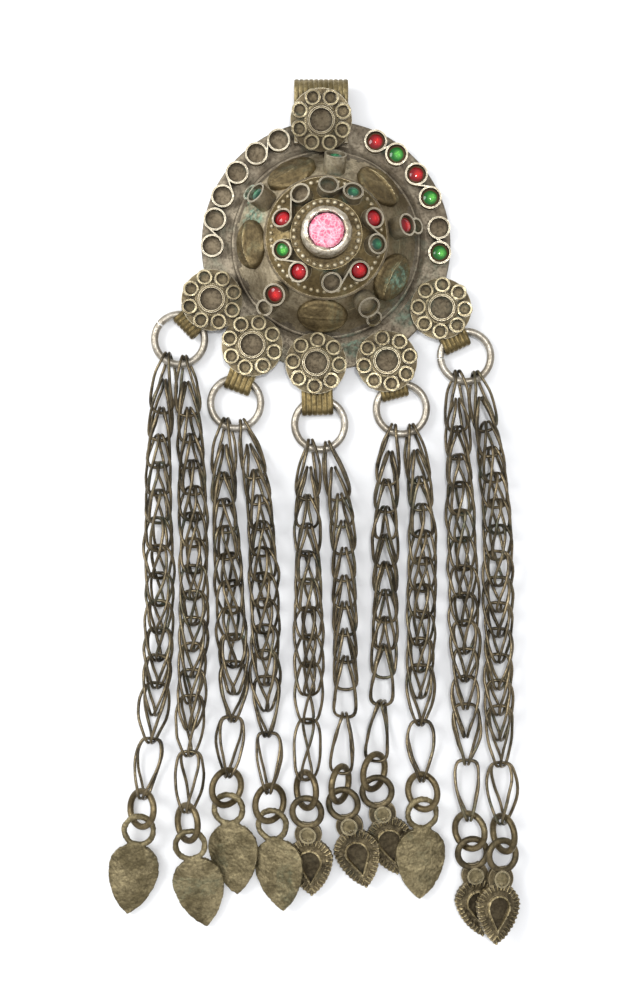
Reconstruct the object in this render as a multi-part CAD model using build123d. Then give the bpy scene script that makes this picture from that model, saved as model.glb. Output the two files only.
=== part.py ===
from build123d import *
import math
import os

# Old nomad pendant in brass and nickel silver, lying on its back, in millimetres.
# The origin is the centre of the base plate's back face. +Z points up out of the dome,
# +Y points to the hanging bail, and the ten chains run down towards -Y.

# Base plate
PLATE_RADIUS = 30.4
PLATE_THICKNESS = 1.2
PLATE_EDGE_ROUND = 0.35

# Hollow dome
DOME_RADIUS = 21.6
DOME_HEIGHT = 14.0
DOME_WALL = 0.9
FOOT_WIRE = 1.3
FOOT_OFFSET = 0.9

# Collar and centre setting on the dome's top
COLLAR_RADIUS = 14.4
COLLAR_THICKNESS = 0.8
COLLAR_WIRE = 1.0
COLLAR_BEAD = 0.9
COLLAR_BEAD_INSET = 1.4
COLLAR_BEAD_PITCH = 1.6
STEP_RADIUS = 8.4
STEP_HEIGHT = 0.9
GRANULE = 0.95
GRANULE_RADIUS = 7.55
GRANULE_PITCH = 1.65
BEZEL_RADIUS = 5.35
BEZEL_WALL = 0.9
BEZEL_HEIGHT = 5.4
BEZEL_DEPTH = 1.7
BEZEL_LIP = 0.35

# Strip cups and their stones
STRIP = 0.4
BRIDGE = 0.3
SOLDER = 0.5
RIM_CUP_RADIUS = 2.75
RIM_CUP_HEIGHT = 2.1
RIM_CUP_INSET = 2.75
COLLAR_CUP_RADIUS = 2.45
COLLAR_CUP_HEIGHT = 1.9
CUP_FLOOR = 0.5
STONE_GAP = 0.12
STONE_SIDE = 0.5
STONE_CROWN = 1.35
TABLE_FACETS = 16
TABLE_SHARE = 0.8

# Standing strips on the dome's flank
STAND_CUP_RADIUS = 2.7
STAND_CUP_HEIGHT = 4.0
STAND_COIL_RADIUS = 2.0
STAND_COIL_HEIGHT = 3.0
STAND_INSET = 4.8
STAND_STONE_DEPTH = 1.1

# Leaf bosses on the dome's flank
LEAF_INSET = 2.6
LEAF_HALF_LENGTH = 5.9
LEAF_HALF_WIDTH = 3.8
LEAF_RISE = 1.5

# Rosettes
ROSETTE_RADIUS = 7.4
ROSETTE_EDGE = 1.0
ROSETTE_CROWN = 0.8
ROSETTE_RAISE = 1.6
ROSETTE_CUP_RADIUS = 3.25
ROSETTE_CUP_WALL = 0.5
ROSETTE_CUP_RISE = 1.1
ROSETTE_WIRE = 0.8
PETAL_COUNT = 8
PETAL_RING_RADIUS = 5.6
PETAL_RADIUS = 1.95
PETAL_WALL = 0.65
PETAL_RISE = 0.75

# Ribbed strip loops and the bail
STRIP_THICKNESS = 0.6
RIB_PITCH = 1.18
RIB_RISE = 0.22
LOOP_CLEARANCE = 0.12
BAIL_WIDTH = 13.0
BAIL_WALL = 0.8
BAIL_BORE_RADIUS = 2.75
BAIL_PAST = 9.2
BAIL_ROOT_INSET = 5.2
BAIL_ROSETTE_INSET = 1.0
BAIL_X = -1.2
BAIL_PHASE = 21.0

# Jump rings, small rings and chain wire
RING_OUTER = 14.0
RING_WIRE = 1.8
RING_GAP = 0.3
SMALL_RING_OUTER = 10.0
SMALL_RING_WIRE = 1.55
CHAIN_WIRE = 0.72
CHAIN_GAP = 0.18
HOOK_GAP = 0.25
EYE_SLACK = 0.4
CHAIN_LIFT = 0.15
FLOOR_GAP = 0.03
TIP_LIFT = 0.08

# Folded chain link: half spans of its arch and its two eyes
LINK_LENGTH = 14.5
LINK_HALF_WIDTH = 2.95
LINK_HALF_DEPTH = 2.6
LINK_ARCH_HALF = 0.44
LINK_ARCH_BEND = 1.4
LINK_WAIST_HALF = 1.9
LINK_WAIST_DROP = 4.2
LINK_WAIST_BEND = 5.0
LINK_EYE_HALF = 0.45
LINK_EYE_BEND = 2.2
LINK_PITCH = 6.5
LINK_TURN = 9.0
LINK_WIDEST_TURN = 57.0

# Cast drops
DROP_LOOP_OUTER = 8.6
DROP_LOOP_WIRE = 1.55
DROP_HOOK_DEPTH = 2.4
DROP_LENGTH = 22.0
DROP_BOW_AT = 0.55
DROP_BOW_SHARE = 0.36
LEAF_WIDTH = 12.4
LEAF_TOP = 3.4
LEAF_EDGE = 0.9
LEAF_CROWN = 0.7
LEAF_SHOULDER = 0.38
CAST_WIDTH = 11.6
CAST_TOP = 6.6
CAST_EDGE = 0.9
CAST_CROWN = 0.4
CAST_SHOULDER = 0.33
NECK_WIDTH = 6.6
BOSS_RADIUS = 2.05
BOSS_RIM = 0.35
BOSS_RISE = 0.55
CELL_WIDTH = 5.8
CELL_LENGTH = 8.8
CELL_TOP = 9.6
CELL_WALL = 0.5
CELL_RISE = 0.55
BAR_LENGTH = 1.6
BAR_WIDTH = 0.6
BAR_RISE = 0.2
BARS = 9
BAR_INSET = 1.2
CONTOUR_INSET = 2.3
CONTOUR_WIDTH = 0.35
CONTOUR_RISE = 0.1
KNOB_RADIUS = 0.85

# Rim cups in S-shaped pairs: azimuths of both cups and the colour of each stone
RIM_PAIRS = [
    {"a": 64.2, "b": 51.8, "stone_a": "red", "stone_b": "green"},
    {"a": 37.6, "b": 23.9, "stone_a": "red", "stone_b": "green"},
    {"a": 8.0, "b": -4.5, "stone_a": None, "stone_b": "green"},
    {"a": 114.6, "b": 127.7, "stone_a": None, "stone_b": None},
    {"a": 141.4, "b": 155.3, "stone_a": None, "stone_b": None},
    {"a": 167.6, "b": 181.0, "stone_a": None, "stone_b": None},
]

# Collar cups in S-shaped pairs, each cup at its own azimuth and inset from the collar's edge
COLLAR_PAIRS = [
    {"a": 88.6, "inset_a": 3.6, "b": 57.0, "inset_b": 3.3, "stone_a": None, "stone_b": "green"},
    {"a": 19.9, "inset_a": 3.3, "b": -11.6, "inset_b": 3.1, "stone_a": "red", "stone_b": "green"},
    {"a": -46.5, "inset_a": 3.6, "b": -85.2, "inset_b": 3.8, "stone_a": "red", "stone_b": None},
    {"a": -125.4, "inset_a": 4.1, "b": -161.5, "inset_b": 4.1, "stone_a": "red", "stone_b": "green"},
    {"a": 161.7, "inset_a": 4.1, "b": 121.4, "inset_b": 3.8, "stone_a": "red", "stone_b": None},
]

# Standing strips: azimuth, outward tilt of the cup, which way its coil lies, and the stone
STANDS = [
    {"az": 83.5, "tilt": 58.0, "coil": 1, "stone": "green"},
    {"az": 9.0, "tilt": 43.0, "coil": 1, "stone": "red"},
    {"az": -58.5, "tilt": 42.0, "coil": 1, "stone": None},
    {"az": -132.0, "tilt": 24.0, "coil": 1, "stone": "red"},
    {"az": 147.5, "tilt": 52.0, "coil": 1, "stone": "green"},
]

LEAF_AZIMUTHS = [117.5, 46.0, -29.4, -93.0, 183.0]

# The five tassels: azimuth of the rosette and how far its centre lies past the plate's rim, its
# petal phase, the strip's direction and width, how far its fold passes the ring's wire, the
# ring's centre from the rosette's, and the direction of the ring's open joint
TASSELS = [
    {"azimuth": 206.5, "past": 0.5, "phase": 17.6, "strip": 224.0, "width": 6.6, "reach": 3.4,
     "ring_dx": -8.0, "ring_dy": -9.3, "joint": 142.0},
    {"azimuth": 234.2, "past": 0.2, "phase": 28.0, "strip": 250.0, "width": 6.4, "reach": 2.9,
     "ring_dx": -4.1, "ring_dy": -13.8, "joint": 60.0},
    {"azimuth": 265.2, "past": -1.2, "phase": -4.0, "strip": 272.0, "width": 7.6, "reach": 3.3,
     "ring_dx": 0.9, "ring_dy": -14.7, "joint": 95.0},
    {"azimuth": 297.1, "past": 1.75, "phase": 11.7, "strip": 285.0, "width": 6.6, "reach": 2.8,
     "ring_dx": 3.7, "ring_dy": -11.4, "joint": 110.0},
    {"azimuth": 330.3, "past": 1.6, "phase": -2.5, "strip": 295.0, "width": 6.6, "reach": 3.3,
     "ring_dx": 6.2, "ring_dy": -11.4, "joint": 184.0},
]

# The ten chains, chosen from how they lie. "start" is where the chain hangs on its jump ring,
# by azimuth. "turn" is how far its first and last links stand on edge. "route" holds the few
# points that it passes, ring_x and ring_y the small ring at its end, and "tilt" how far that
# ring leans, with its right side up if positive. "hang" is the direction of the drop, "roll"
# how far its right side is up, and "rest" how high its tip lies on its neighbour.
CHAINS = [
    {"tassel": 1, "start": -118.0, "turn": (90, 9),
     "route": [(-40.2, -45.0), (-40.4, -80.0), (-41.6, -115.0)],
     "ring_x": -44.6, "ring_y": -137.0, "tilt": 42.0,
     "hang": -98.5, "roll": 0.0, "rest": 0.0, "form": "leaf"},
    {"tassel": 1, "start": -76.0, "turn": (90, 18),
     "route": [(-32.9, -45.0), (-32.0, -80.0), (-32.8, -115.0)],
     "ring_x": -33.5, "ring_y": -140.3, "tilt": 50.0,
     "hang": -79.5, "roll": 0.0, "rest": 0.0, "form": "leaf"},
    {"tassel": 2, "start": -112.0, "turn": (-90, 0),
     "route": [(-24.9, -58.0), (-23.5, -80.0), (-22.5, -110.0)],
     "ring_x": -24.1, "ring_y": -131.9, "tilt": -38.0,
     "hang": -84.0, "roll": 12.0, "rest": 0.6, "form": "leaf"},
    {"tassel": 2, "start": -70.0, "turn": (90, 0),
     "route": [(-16.6, -58.0), (-15.2, -80.0), (-14.5, -105.0)],
     "ring_x": -13.7, "ring_y": -135.7, "tilt": -38.0,
     "hang": -82.0, "roll": 16.0, "rest": 1.7, "form": "leaf"},
    {"tassel": 3, "start": -112.0, "turn": (90, 45),
     "route": [(-4.6, -62.0), (-4.2, -85.0), (-4.0, -108.0)],
     "ring_x": -4.8, "ring_y": -132.3, "tilt": 56.0,
     "hang": -86.5, "roll": 9.5, "rest": 0.5, "form": "cast"},
    {"tassel": 3, "start": -70.0, "turn": (90, 90),
     "route": [(3.5, -62.0), (4.4, -85.0), (4.8, -108.0)],
     "ring_x": 3.4, "ring_y": -130.8, "tilt": -60.0,
     "hang": -74.0, "roll": 10.5, "rest": 1.6, "form": "cast"},
    {"tassel": 4, "start": -112.0, "turn": (90, 104),
     "route": [(14.6, -58.0), (14.4, -82.0), (13.8, -106.0)],
     "ring_x": 11.6, "ring_y": -127.9, "tilt": -50.0,
     "hang": -76.0, "roll": 0.0, "rest": 0.0, "form": "cast"},
    {"tassel": 4, "start": -66.0, "turn": (90, 0),
     "route": [(22.7, -58.0), (23.2, -85.0), (22.8, -108.0)],
     "ring_x": 23.4, "ring_y": -132.9, "tilt": 38.0,
     "hang": -91.5, "roll": -10.0, "rest": 0.9, "form": "leaf"},
    {"tassel": 5, "start": -112.0, "turn": (90, 9),
     "route": [(31.9, -50.0), (33.4, -85.0), (33.9, -118.0)],
     "ring_x": 34.8, "ring_y": -142.4, "tilt": 39.0,
     "hang": -82.5, "roll": -4.0, "rest": 0.0, "form": "cast"},
    {"tassel": 5, "start": -66.0, "turn": (90, 24),
     "route": [(39.8, -50.0), (41.8, -85.0), (42.1, -118.0)],
     "ring_x": 42.9, "ring_y": -142.8, "tilt": 60.0,
     "hang": -95.5, "roll": -18.0, "rest": 5.0, "form": "cast"},
]

BASE = (Align.CENTER, Align.CENTER, Align.MIN)


def polar(radius, azimuth):
    angle = math.radians(azimuth)
    return radius * math.cos(angle), radius * math.sin(angle)


# The dome is a ball segment, so everything on it shares one ball centre on the axis.
DOME_BALL = (DOME_RADIUS ** 2 + DOME_HEIGHT ** 2) / (2 * DOME_HEIGHT)
DOME_CENTRE = PLATE_THICKNESS + DOME_HEIGHT - DOME_BALL


def on_dome(radius, azimuth, lift=0.0, tilt=None):
    """Frame on the dome at a plan radius: +Z outwards, +X downhill, tilt from the vertical."""
    ball = DOME_BALL + lift
    slope = math.degrees(math.asin(radius / ball))
    x, y = polar(radius, azimuth)
    z = DOME_CENTRE + math.sqrt(ball ** 2 - radius ** 2)
    lean = slope if tilt is None else tilt
    return Pos(x, y, z) * Rot(0, 0, azimuth) * Rot(0, lean, 0)


def ball_segment(radius):
    return Pos(0, 0, DOME_CENTRE) * Sphere(radius)


def above(height, reach):
    return Pos(0, 0, height) * Cylinder(reach, 2 * DOME_BALL, align=BASE)


# Shell of plate and dome


def plate():
    disc = Cylinder(PLATE_RADIUS, PLATE_THICKNESS, align=BASE)
    return fillet(disc.edges().filter_by(GeomType.CIRCLE), PLATE_EDGE_ROUND)


def dome():
    return ball_segment(DOME_BALL) & above(PLATE_THICKNESS - SOLDER, DOME_BALL)


def hollow():
    return ball_segment(DOME_BALL - DOME_WALL) & above(PLATE_THICKNESS, DOME_BALL)


def foot_wire():
    radius = DOME_RADIUS + FOOT_OFFSET
    return Pos(0, 0, PLATE_THICKNESS + FOOT_WIRE / 4) * Torus(radius, FOOT_WIRE / 2)


# Collar with its beads, step, granules and centre bezel


def collar_top(radius):
    return DOME_CENTRE + math.sqrt((DOME_BALL + COLLAR_THICKNESS) ** 2 - radius ** 2)


def collar():
    low = DOME_CENTRE + math.sqrt(DOME_BALL ** 2 - COLLAR_RADIUS ** 2) - SOLDER
    cap = ball_segment(DOME_BALL + COLLAR_THICKNESS) & above(low, COLLAR_RADIUS)
    wire = Torus(COLLAR_RADIUS, COLLAR_WIRE / 2)
    return [cap, Pos(0, 0, collar_top(COLLAR_RADIUS) - COLLAR_THICKNESS / 2) * wire]


def ring_of_beads(radius, bead, pitch, height):
    count = round(2 * math.pi * radius / pitch)
    beads = []
    for index in range(count):
        x, y = polar(radius, 360 * index / count)
        beads.append(Pos(x, y, height) * Sphere(bead / 2))
    return beads


def step_top():
    return collar_top(STEP_RADIUS) + STEP_HEIGHT


def centre_setting():
    step = Pos(0, 0, collar_top(STEP_RADIUS) - SOLDER) * Cylinder(
        STEP_RADIUS, STEP_HEIGHT + SOLDER, align=BASE)
    wall = Cylinder(BEZEL_RADIUS, bezel_top() - step_top() + SOLDER, align=BASE)
    bezel = Pos(0, 0, step_top() - SOLDER) * wall
    bezel = chamfer(bezel.edges().group_by(Axis.Z)[-1], BEZEL_LIP)
    return [step, bezel]


def bezel_top():
    return collar_top(0) + BEZEL_HEIGHT - STEP_HEIGHT


def bezel_bore():
    bore_radius = BEZEL_RADIUS - BEZEL_WALL
    return Pos(0, 0, bezel_top() - BEZEL_DEPTH) * Cylinder(bore_radius, 2 * BEZEL_DEPTH, align=BASE)


# Cups bent from one S-shaped strip, soldered on edge


def cup_solid(radius, height):
    return Pos(0, 0, -SOLDER) * Cylinder(radius, height + SOLDER, align=BASE)


def cup_bore(radius, height):
    return Pos(0, 0, CUP_FLOOR) * Cylinder(radius - STRIP, 2 * height, align=BASE)


def s_bridge(distance, radius, height):
    """The strip's stretch between two coils centred on the X axis, within both their walls."""
    mean = radius - STRIP / 2
    reach = max(distance ** 2 - 4 * mean ** 2, STRIP ** 2)
    lean = math.degrees(math.atan2(2 * mean, math.sqrt(reach)))
    bar = Box(math.sqrt(reach) + STRIP, BRIDGE, height + SOLDER, align=BASE)
    return Pos(distance / 2, 0, BRIDGE - STRIP - SOLDER) * Rot(0, 0, lean) * bar


def s_pair(start, end, radius, height, frame):
    """One strip with its two cups, before they are bored, at two plan points in the frame."""
    distance = math.dist(start, end)
    heading = math.degrees(math.atan2(end[1] - start[1], end[0] - start[0]))
    place = frame * Pos(*start, 0) * Rot(0, 0, heading)
    cups = [place * cup_solid(radius, height), place * Pos(distance, 0, 0) * cup_solid(radius, height)]
    return cups + [place * s_bridge(distance, radius, height)]


def rim_frame(azimuth):
    x, y = polar(PLATE_RADIUS - RIM_CUP_INSET, azimuth)
    return Pos(x, y, PLATE_THICKNESS)


def collar_frame(inset, azimuth):
    return on_dome(COLLAR_RADIUS - inset, azimuth, COLLAR_THICKNESS)


def local_xy(frame, target):
    """Plan place of the target's origin in the frame's own plane."""
    offset = frame.inverse() * Pos(*target.position)
    return offset.position.X, offset.position.Y


def collar_pair_frame(pair):
    middle = (pair["a"] + pair["b"]) / 2
    return collar_frame((pair["inset_a"] + pair["inset_b"]) / 2, middle)


def collar_cup_place(pair, key):
    """A collar cup's frame: on the pair's shared plane, so that one strip can make both."""
    frame = collar_pair_frame(pair)
    own = collar_frame(pair["inset_" + key], pair[key])
    x, y = local_xy(frame, own)
    drop = (frame.inverse() * Pos(*own.position)).position.Z
    return frame * Pos(x, y, drop / 2)


def rim_strips():
    strips = []
    flat = Pos(0, 0, PLATE_THICKNESS)
    for pair in RIM_PAIRS:
        start, end = [rim_frame(pair[key]).position for key in "ab"]
        strips += s_pair((start.X, start.Y), (end.X, end.Y), RIM_CUP_RADIUS, RIM_CUP_HEIGHT, flat)
    return strips


def rim_bores():
    return [rim_frame(pair[key]) * cup_bore(RIM_CUP_RADIUS, RIM_CUP_HEIGHT)
            for pair in RIM_PAIRS for key in "ab"]


def collar_seat(pair, key):
    """Frame of a collar cup's floor: both cups of a pair stand level with the first."""
    frame = collar_pair_frame(pair)
    level = (frame.inverse() * Pos(*collar_cup_place(pair, "a").position)).position.Z
    x, y = local_xy(frame, collar_cup_place(pair, key))
    return frame * Pos(x, y, level)


def collar_strips():
    strips = []
    for pair in COLLAR_PAIRS:
        frame = collar_seat(pair, "a")
        end = local_xy(frame, collar_seat(pair, "b"))
        strips += s_pair((0, 0), end, COLLAR_CUP_RADIUS, COLLAR_CUP_HEIGHT, frame)
    return strips


def collar_bores():
    return [collar_seat(pair, key) * cup_bore(COLLAR_CUP_RADIUS, COLLAR_CUP_HEIGHT)
            for pair in COLLAR_PAIRS for key in "ab"]


def stand_frame(stand):
    return on_dome(DOME_RADIUS - STAND_INSET, stand["az"], 0, stand["tilt"])


def standing_strips():
    strips = []
    for stand in STANDS:
        frame = stand_frame(stand)
        shift = stand["coil"] * (STAND_CUP_RADIUS + STAND_COIL_RADIUS - BRIDGE)
        foot = 2 * SOLDER
        tall = Pos(0, 0, -foot) * Cylinder(STAND_CUP_RADIUS, STAND_CUP_HEIGHT + foot, align=BASE)
        tall -= Pos(0, 0, STAND_CUP_HEIGHT - STAND_STONE_DEPTH - STONE_SIDE) * Cylinder(
            STAND_CUP_RADIUS - STRIP, STAND_CUP_HEIGHT, align=BASE)
        low = STAND_COIL_HEIGHT + STAND_COIL_RADIUS
        coil = Pos(shift, 0, STAND_COIL_HEIGHT - low) * Cylinder(STAND_COIL_RADIUS, low, align=BASE)
        coil -= Pos(shift, 0, STAND_COIL_HEIGHT / 3) * Cylinder(
            STAND_COIL_RADIUS - STRIP, STAND_COIL_HEIGHT, align=BASE)
        strips += [frame * tall, frame * coil]
    return strips


def leaf_bosses():
    """Embossed leaves: two balls meet in an upright lens, whose upper edge is the midrib."""
    sag = LEAF_RISE + LEAF_HALF_LENGTH ** 2 / (2 * DOME_BALL)
    rib = (LEAF_HALF_LENGTH ** 2 + sag ** 2) / (2 * sag)
    side = LEAF_RISE + LEAF_HALF_WIDTH ** 2 / (2 * DOME_BALL)
    chord = 2 * rib * side - side ** 2
    spread = (chord - LEAF_HALF_WIDTH ** 2) / (2 * LEAF_HALF_WIDTH)
    ball = math.hypot(rib, spread)
    sunk = LEAF_RISE - rib
    leaves = []
    for azimuth in LEAF_AZIMUTHS:
        lens = (Pos(0, spread, sunk) * Sphere(ball)) & (Pos(0, -spread, sunk) * Sphere(ball))
        slab = Pos(0, 0, -SOLDER) * Cylinder(2 * LEAF_HALF_LENGTH, 2 * LEAF_RISE + SOLDER, align=BASE)
        leaves.append(on_dome(DOME_RADIUS - LEAF_INSET, azimuth) * Rot(0, 0, 90) * (slab & lens))
    return leaves


# Rosettes


def rosette(phase):
    """A domed disc with a centre cup, a wire round it and eight petal rings, base at z 0."""
    crown_ball = (ROSETTE_RADIUS ** 2 + ROSETTE_CROWN ** 2) / (2 * ROSETTE_CROWN)
    top = ROSETTE_EDGE + ROSETTE_CROWN
    disc = Cylinder(ROSETTE_RADIUS, top, align=BASE) & (Pos(0, 0, top - crown_ball) * Sphere(crown_ball))
    wire_radius = ROSETTE_CUP_RADIUS + ROSETTE_WIRE / 4
    solid = [disc, Pos(0, 0, top - ROSETTE_WIRE / 8) * Torus(wire_radius, ROSETTE_WIRE / 2)]
    solid.append(Cylinder(ROSETTE_CUP_RADIUS, top + ROSETTE_CUP_RISE, align=BASE))
    petal_base = top - PETAL_RING_RADIUS ** 2 / (2 * crown_ball)
    bores = [Pos(0, 0, top - ROSETTE_WIRE / 4) * Cylinder(
        ROSETTE_CUP_RADIUS - ROSETTE_CUP_WALL, 2 * ROSETTE_CUP_RISE, align=BASE)]
    for index in range(PETAL_COUNT):
        x, y = polar(PETAL_RING_RADIUS, phase + 360 * index / PETAL_COUNT)
        solid.append(Pos(x, y, 0) * Cylinder(PETAL_RADIUS, petal_base + PETAL_RISE, align=BASE))
        bores.append(Pos(x, y, petal_base - PETAL_RISE / 4) * Cylinder(
            PETAL_RADIUS - PETAL_WALL, 2 * PETAL_RISE, align=BASE))
    return (solid[0] + solid[1:]) - bores


def rosette_base():
    return PLATE_THICKNESS + ROSETTE_RAISE


def rosette_centre(tassel):
    return polar(PLATE_RADIUS + tassel["past"], tassel["azimuth"])


def tassel_rosettes():
    return [Pos(*rosette_centre(tassel), rosette_base()) * rosette(tassel["phase"]) for tassel in TASSELS]


# Ribbed strips folded round a wire


def strip_section(width, wall, inside):
    """Strip cut across: flat inside at height inside, half-round ribs outside, in plane XZ."""
    ribs = max(2, round(width / RIB_PITCH))
    pitch = width / ribs
    low = inside + wall - RIB_RISE
    with BuildSketch(Plane.XZ) as section:
        with BuildLine():
            Polyline((-width / 2, low), (-width / 2, inside), (width / 2, inside), (width / 2, low))
            for index in range(ribs):
                left = -width / 2 + index * pitch
                ThreePointArc((left, low), (left + pitch / 2, low + RIB_RISE), (left + pitch, low))
        make_face()
    return section.sketch


def fold(width, wall, inside, leaf, lean):
    """A strip folded round the X axis, open to -Y, whose leaves close in by the angle lean."""
    section = strip_section(width, wall, inside)
    bend = revolve(Rot(lean, 0, 0) * section, Axis.X, -(180 + 2 * lean))
    leaves = []
    for side in (1, -1):
        sheet = extrude(section.face(), leaf, dir=(0, -1, 0))
        if side < 0:
            sheet = mirror(sheet, Plane.XY)
        leaves.append(Rot(side * lean, 0, 0) * sheet)
    return bend + leaves


def ring_radius():
    return (RING_OUTER - RING_WIRE) / 2


def loop_inside():
    return RING_WIRE / 2 + LOOP_CLEARANCE


def ring_height():
    """The ring's wire lies in the bend of the arch that hangs on it."""
    return chain_height() - LINK_HALF_WIDTH + LINK_ARCH_BEND


def ring_centre(tassel):
    x, y = rosette_centre(tassel)
    return x + tassel["ring_dx"], y + tassel["ring_dy"]


def fold_distance(tassel):
    """How far the fold's centre lies from the rosette's, past the ring's wire by the reach."""
    along_x, along_y = polar(1.0, tassel["strip"])
    along = tassel["ring_dx"] * along_x + tassel["ring_dy"] * along_y
    across = tassel["ring_dx"] * along_y - tassel["ring_dy"] * along_x
    wire = along - math.sqrt(ring_radius() ** 2 - across ** 2)
    return wire + tassel["reach"] - loop_inside()


def tassel_strips():
    """Each strip's fold lies round the ring's wire, its two leaves run back under the rosette."""
    strips = []
    for tassel in TASSELS:
        far = fold_distance(tassel)
        x, y = rosette_centre(tassel)
        line = Pos(x, y, 0) * Rot(0, 0, tassel["strip"] - 90)
        loop = fold(tassel["width"], STRIP_THICKNESS, loop_inside(), far + ROSETTE_RADIUS / 3, 0)
        strips.append(line * Pos(0, far, ring_height()) * loop)
        height = rosette_base() - PLATE_THICKNESS + SOLDER
        root = Box(tassel["width"], ROSETTE_RADIUS, height, align=BASE)
        strips.append(line * Pos(0, 0, PLATE_THICKNESS) * root)
    return strips


def bail_centre():
    outer = BAIL_BORE_RADIUS + BAIL_WALL
    return PLATE_RADIUS + BAIL_PAST - outer, FLOOR_GAP + outer


def bail_run():
    """From the bail's bend back to the line where its two leaves meet over the plate."""
    y, _ = bail_centre()
    return y - PLATE_RADIUS + BAIL_ROOT_INSET


def bail_lean():
    return math.degrees(math.asin(BAIL_BORE_RADIUS / bail_run()))


def bail():
    """The bail's folded strip, whose leaves cross at their ends, and the block under them."""
    y, z = bail_centre()
    lean = bail_lean()
    leaf = bail_run() * math.cos(math.radians(lean)) + BAIL_WALL
    strip = Pos(BAIL_X, y, z) * fold(BAIL_WIDTH, BAIL_WALL, BAIL_BORE_RADIUS, leaf, lean)
    height = z - PLATE_THICKNESS + SOLDER
    block = Box(BAIL_WIDTH - BAIL_WALL, BAIL_ROOT_INSET - BAIL_WALL, height, align=BASE)
    middle = PLATE_RADIUS - BAIL_ROOT_INSET / 2
    return strip + [Pos(BAIL_X, middle, PLATE_THICKNESS - SOLDER) * block]


def bail_rosette():
    """The top rosette lies on the bail's upper leaf and leans with it."""
    y, z = bail_centre()
    lean = math.radians(bail_lean())
    outer = BAIL_BORE_RADIUS + BAIL_WALL
    centre_y = PLATE_RADIUS - BAIL_ROSETTE_INSET
    height = z + outer / math.cos(lean) - (y - centre_y) * math.tan(lean)
    return Pos(BAIL_X, centre_y, height - RIB_RISE) * Rot(math.degrees(lean), 0, 0) * rosette(BAIL_PHASE)


def body():
    shell = [dome(), foot_wire()] + collar() + centre_setting()
    shell += ring_of_beads(GRANULE_RADIUS, GRANULE, GRANULE_PITCH, step_top())
    radius = COLLAR_RADIUS - COLLAR_BEAD_INSET
    shell += ring_of_beads(radius, COLLAR_BEAD, COLLAR_BEAD_PITCH, collar_top(radius))
    solid = plate() + shell
    solid -= [hollow(), bezel_bore()]
    for group in [leaf_bosses(), standing_strips(), rim_strips()]:
        solid += group
    solid -= rim_bores()
    solid += collar_strips()
    solid -= collar_bores()
    for group in [tassel_strips(), tassel_rosettes(), bail(), [bail_rosette()]]:
        solid += group
    return solid


# Stones


def cabochon(radius):
    """A domed glass stone, base at z 0, straight at the girdle."""
    crown = STONE_CROWN - STONE_SIDE
    ball = (radius ** 2 + crown ** 2) / (2 * crown)
    side = Cylinder(radius, STONE_CROWN, align=BASE)
    return side & (Pos(0, 0, STONE_CROWN - ball) * Sphere(ball))


def table_stone(radius, girdle, crown):
    """A table-cut stone with a ring of crown facets, base at z 0."""
    outline = RegularPolygon(radius, TABLE_FACETS)
    table = RegularPolygon(radius * TABLE_SHARE, TABLE_FACETS)
    base = extrude(outline, girdle)
    top = loft([Pos(0, 0, girdle) * outline, Pos(0, 0, girdle + crown) * table], ruled=True)
    return base + top


def stones():
    """Each stone by node name, seated in its cup on the clearance STONE_GAP."""
    made = {}
    lift = Pos(0, 0, CUP_FLOOR + STONE_GAP)
    seat_radius = BEZEL_RADIUS - BEZEL_WALL - STONE_GAP
    seat = Pos(0, 0, bezel_top() - BEZEL_DEPTH + STONE_GAP)
    made["centre_stone"] = seat * table_stone(seat_radius, BEZEL_DEPTH / 3, BEZEL_DEPTH / 3)
    count = 0
    for pair in RIM_PAIRS:
        for key in "ab":
            if pair["stone_" + key]:
                count += 1
                stone = cabochon(RIM_CUP_RADIUS - STRIP - STONE_GAP)
                made[f"rim_stone_{count}_{pair['stone_' + key]}"] = rim_frame(pair[key]) * lift * stone
    count = 0
    for pair in COLLAR_PAIRS:
        for key in "ab":
            if pair["stone_" + key]:
                count += 1
                stone = cabochon(COLLAR_CUP_RADIUS - STRIP - STONE_GAP)
                made[f"collar_stone_{count}_{pair['stone_' + key]}"] = collar_seat(pair, key) * lift * stone
    count = 0
    for stand in STANDS:
        if stand["stone"]:
            count += 1
            stone = cabochon(STAND_CUP_RADIUS - STRIP - STONE_GAP)
            height = STAND_CUP_HEIGHT - STAND_STONE_DEPTH - STONE_SIDE + STONE_GAP
            made[f"dome_stone_{count}_{stand['stone']}"] = stand_frame(stand) * Pos(0, 0, height) * stone
    return made


# Rings


def wire_ring(outer, wire):
    return Torus((outer - wire) / 2, wire / 2)


def jump_ring(tassel):
    ring = wire_ring(RING_OUTER, RING_WIRE)
    joint = Pos(RING_OUTER / 2, 0, 0) * Box(RING_OUTER / 2, RING_GAP, RING_OUTER)
    return Pos(*ring_centre(tassel), ring_height()) * (ring - Rot(0, 0, tassel["joint"]) * joint)


def small_ring_radius():
    return (SMALL_RING_OUTER - SMALL_RING_WIRE) / 2


def small_ring_height(chain):
    lean = math.sin(math.radians(abs(chain["tilt"])))
    low = FLOOR_GAP + SMALL_RING_WIRE / 2 + small_ring_radius() * lean
    return max(low, chain_height())


def last_heading(chain):
    """Plan azimuth in which the chain arrives at its small ring."""
    x, y = chain["route"][-1]
    return math.degrees(math.atan2(chain["ring_y"] - y, chain["ring_x"] - x))


def small_ring_place(chain):
    """The ring leans about its chain's line, so that its Y axis stays on that line."""
    place = Pos(chain["ring_x"], chain["ring_y"], small_ring_height(chain))
    return place * Rot(0, 0, last_heading(chain) + 90) * Rot(0, -chain["tilt"], 0)


def small_ring(chain):
    return small_ring_place(chain) * wire_ring(SMALL_RING_OUTER, SMALL_RING_WIRE)


# Chains


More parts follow.
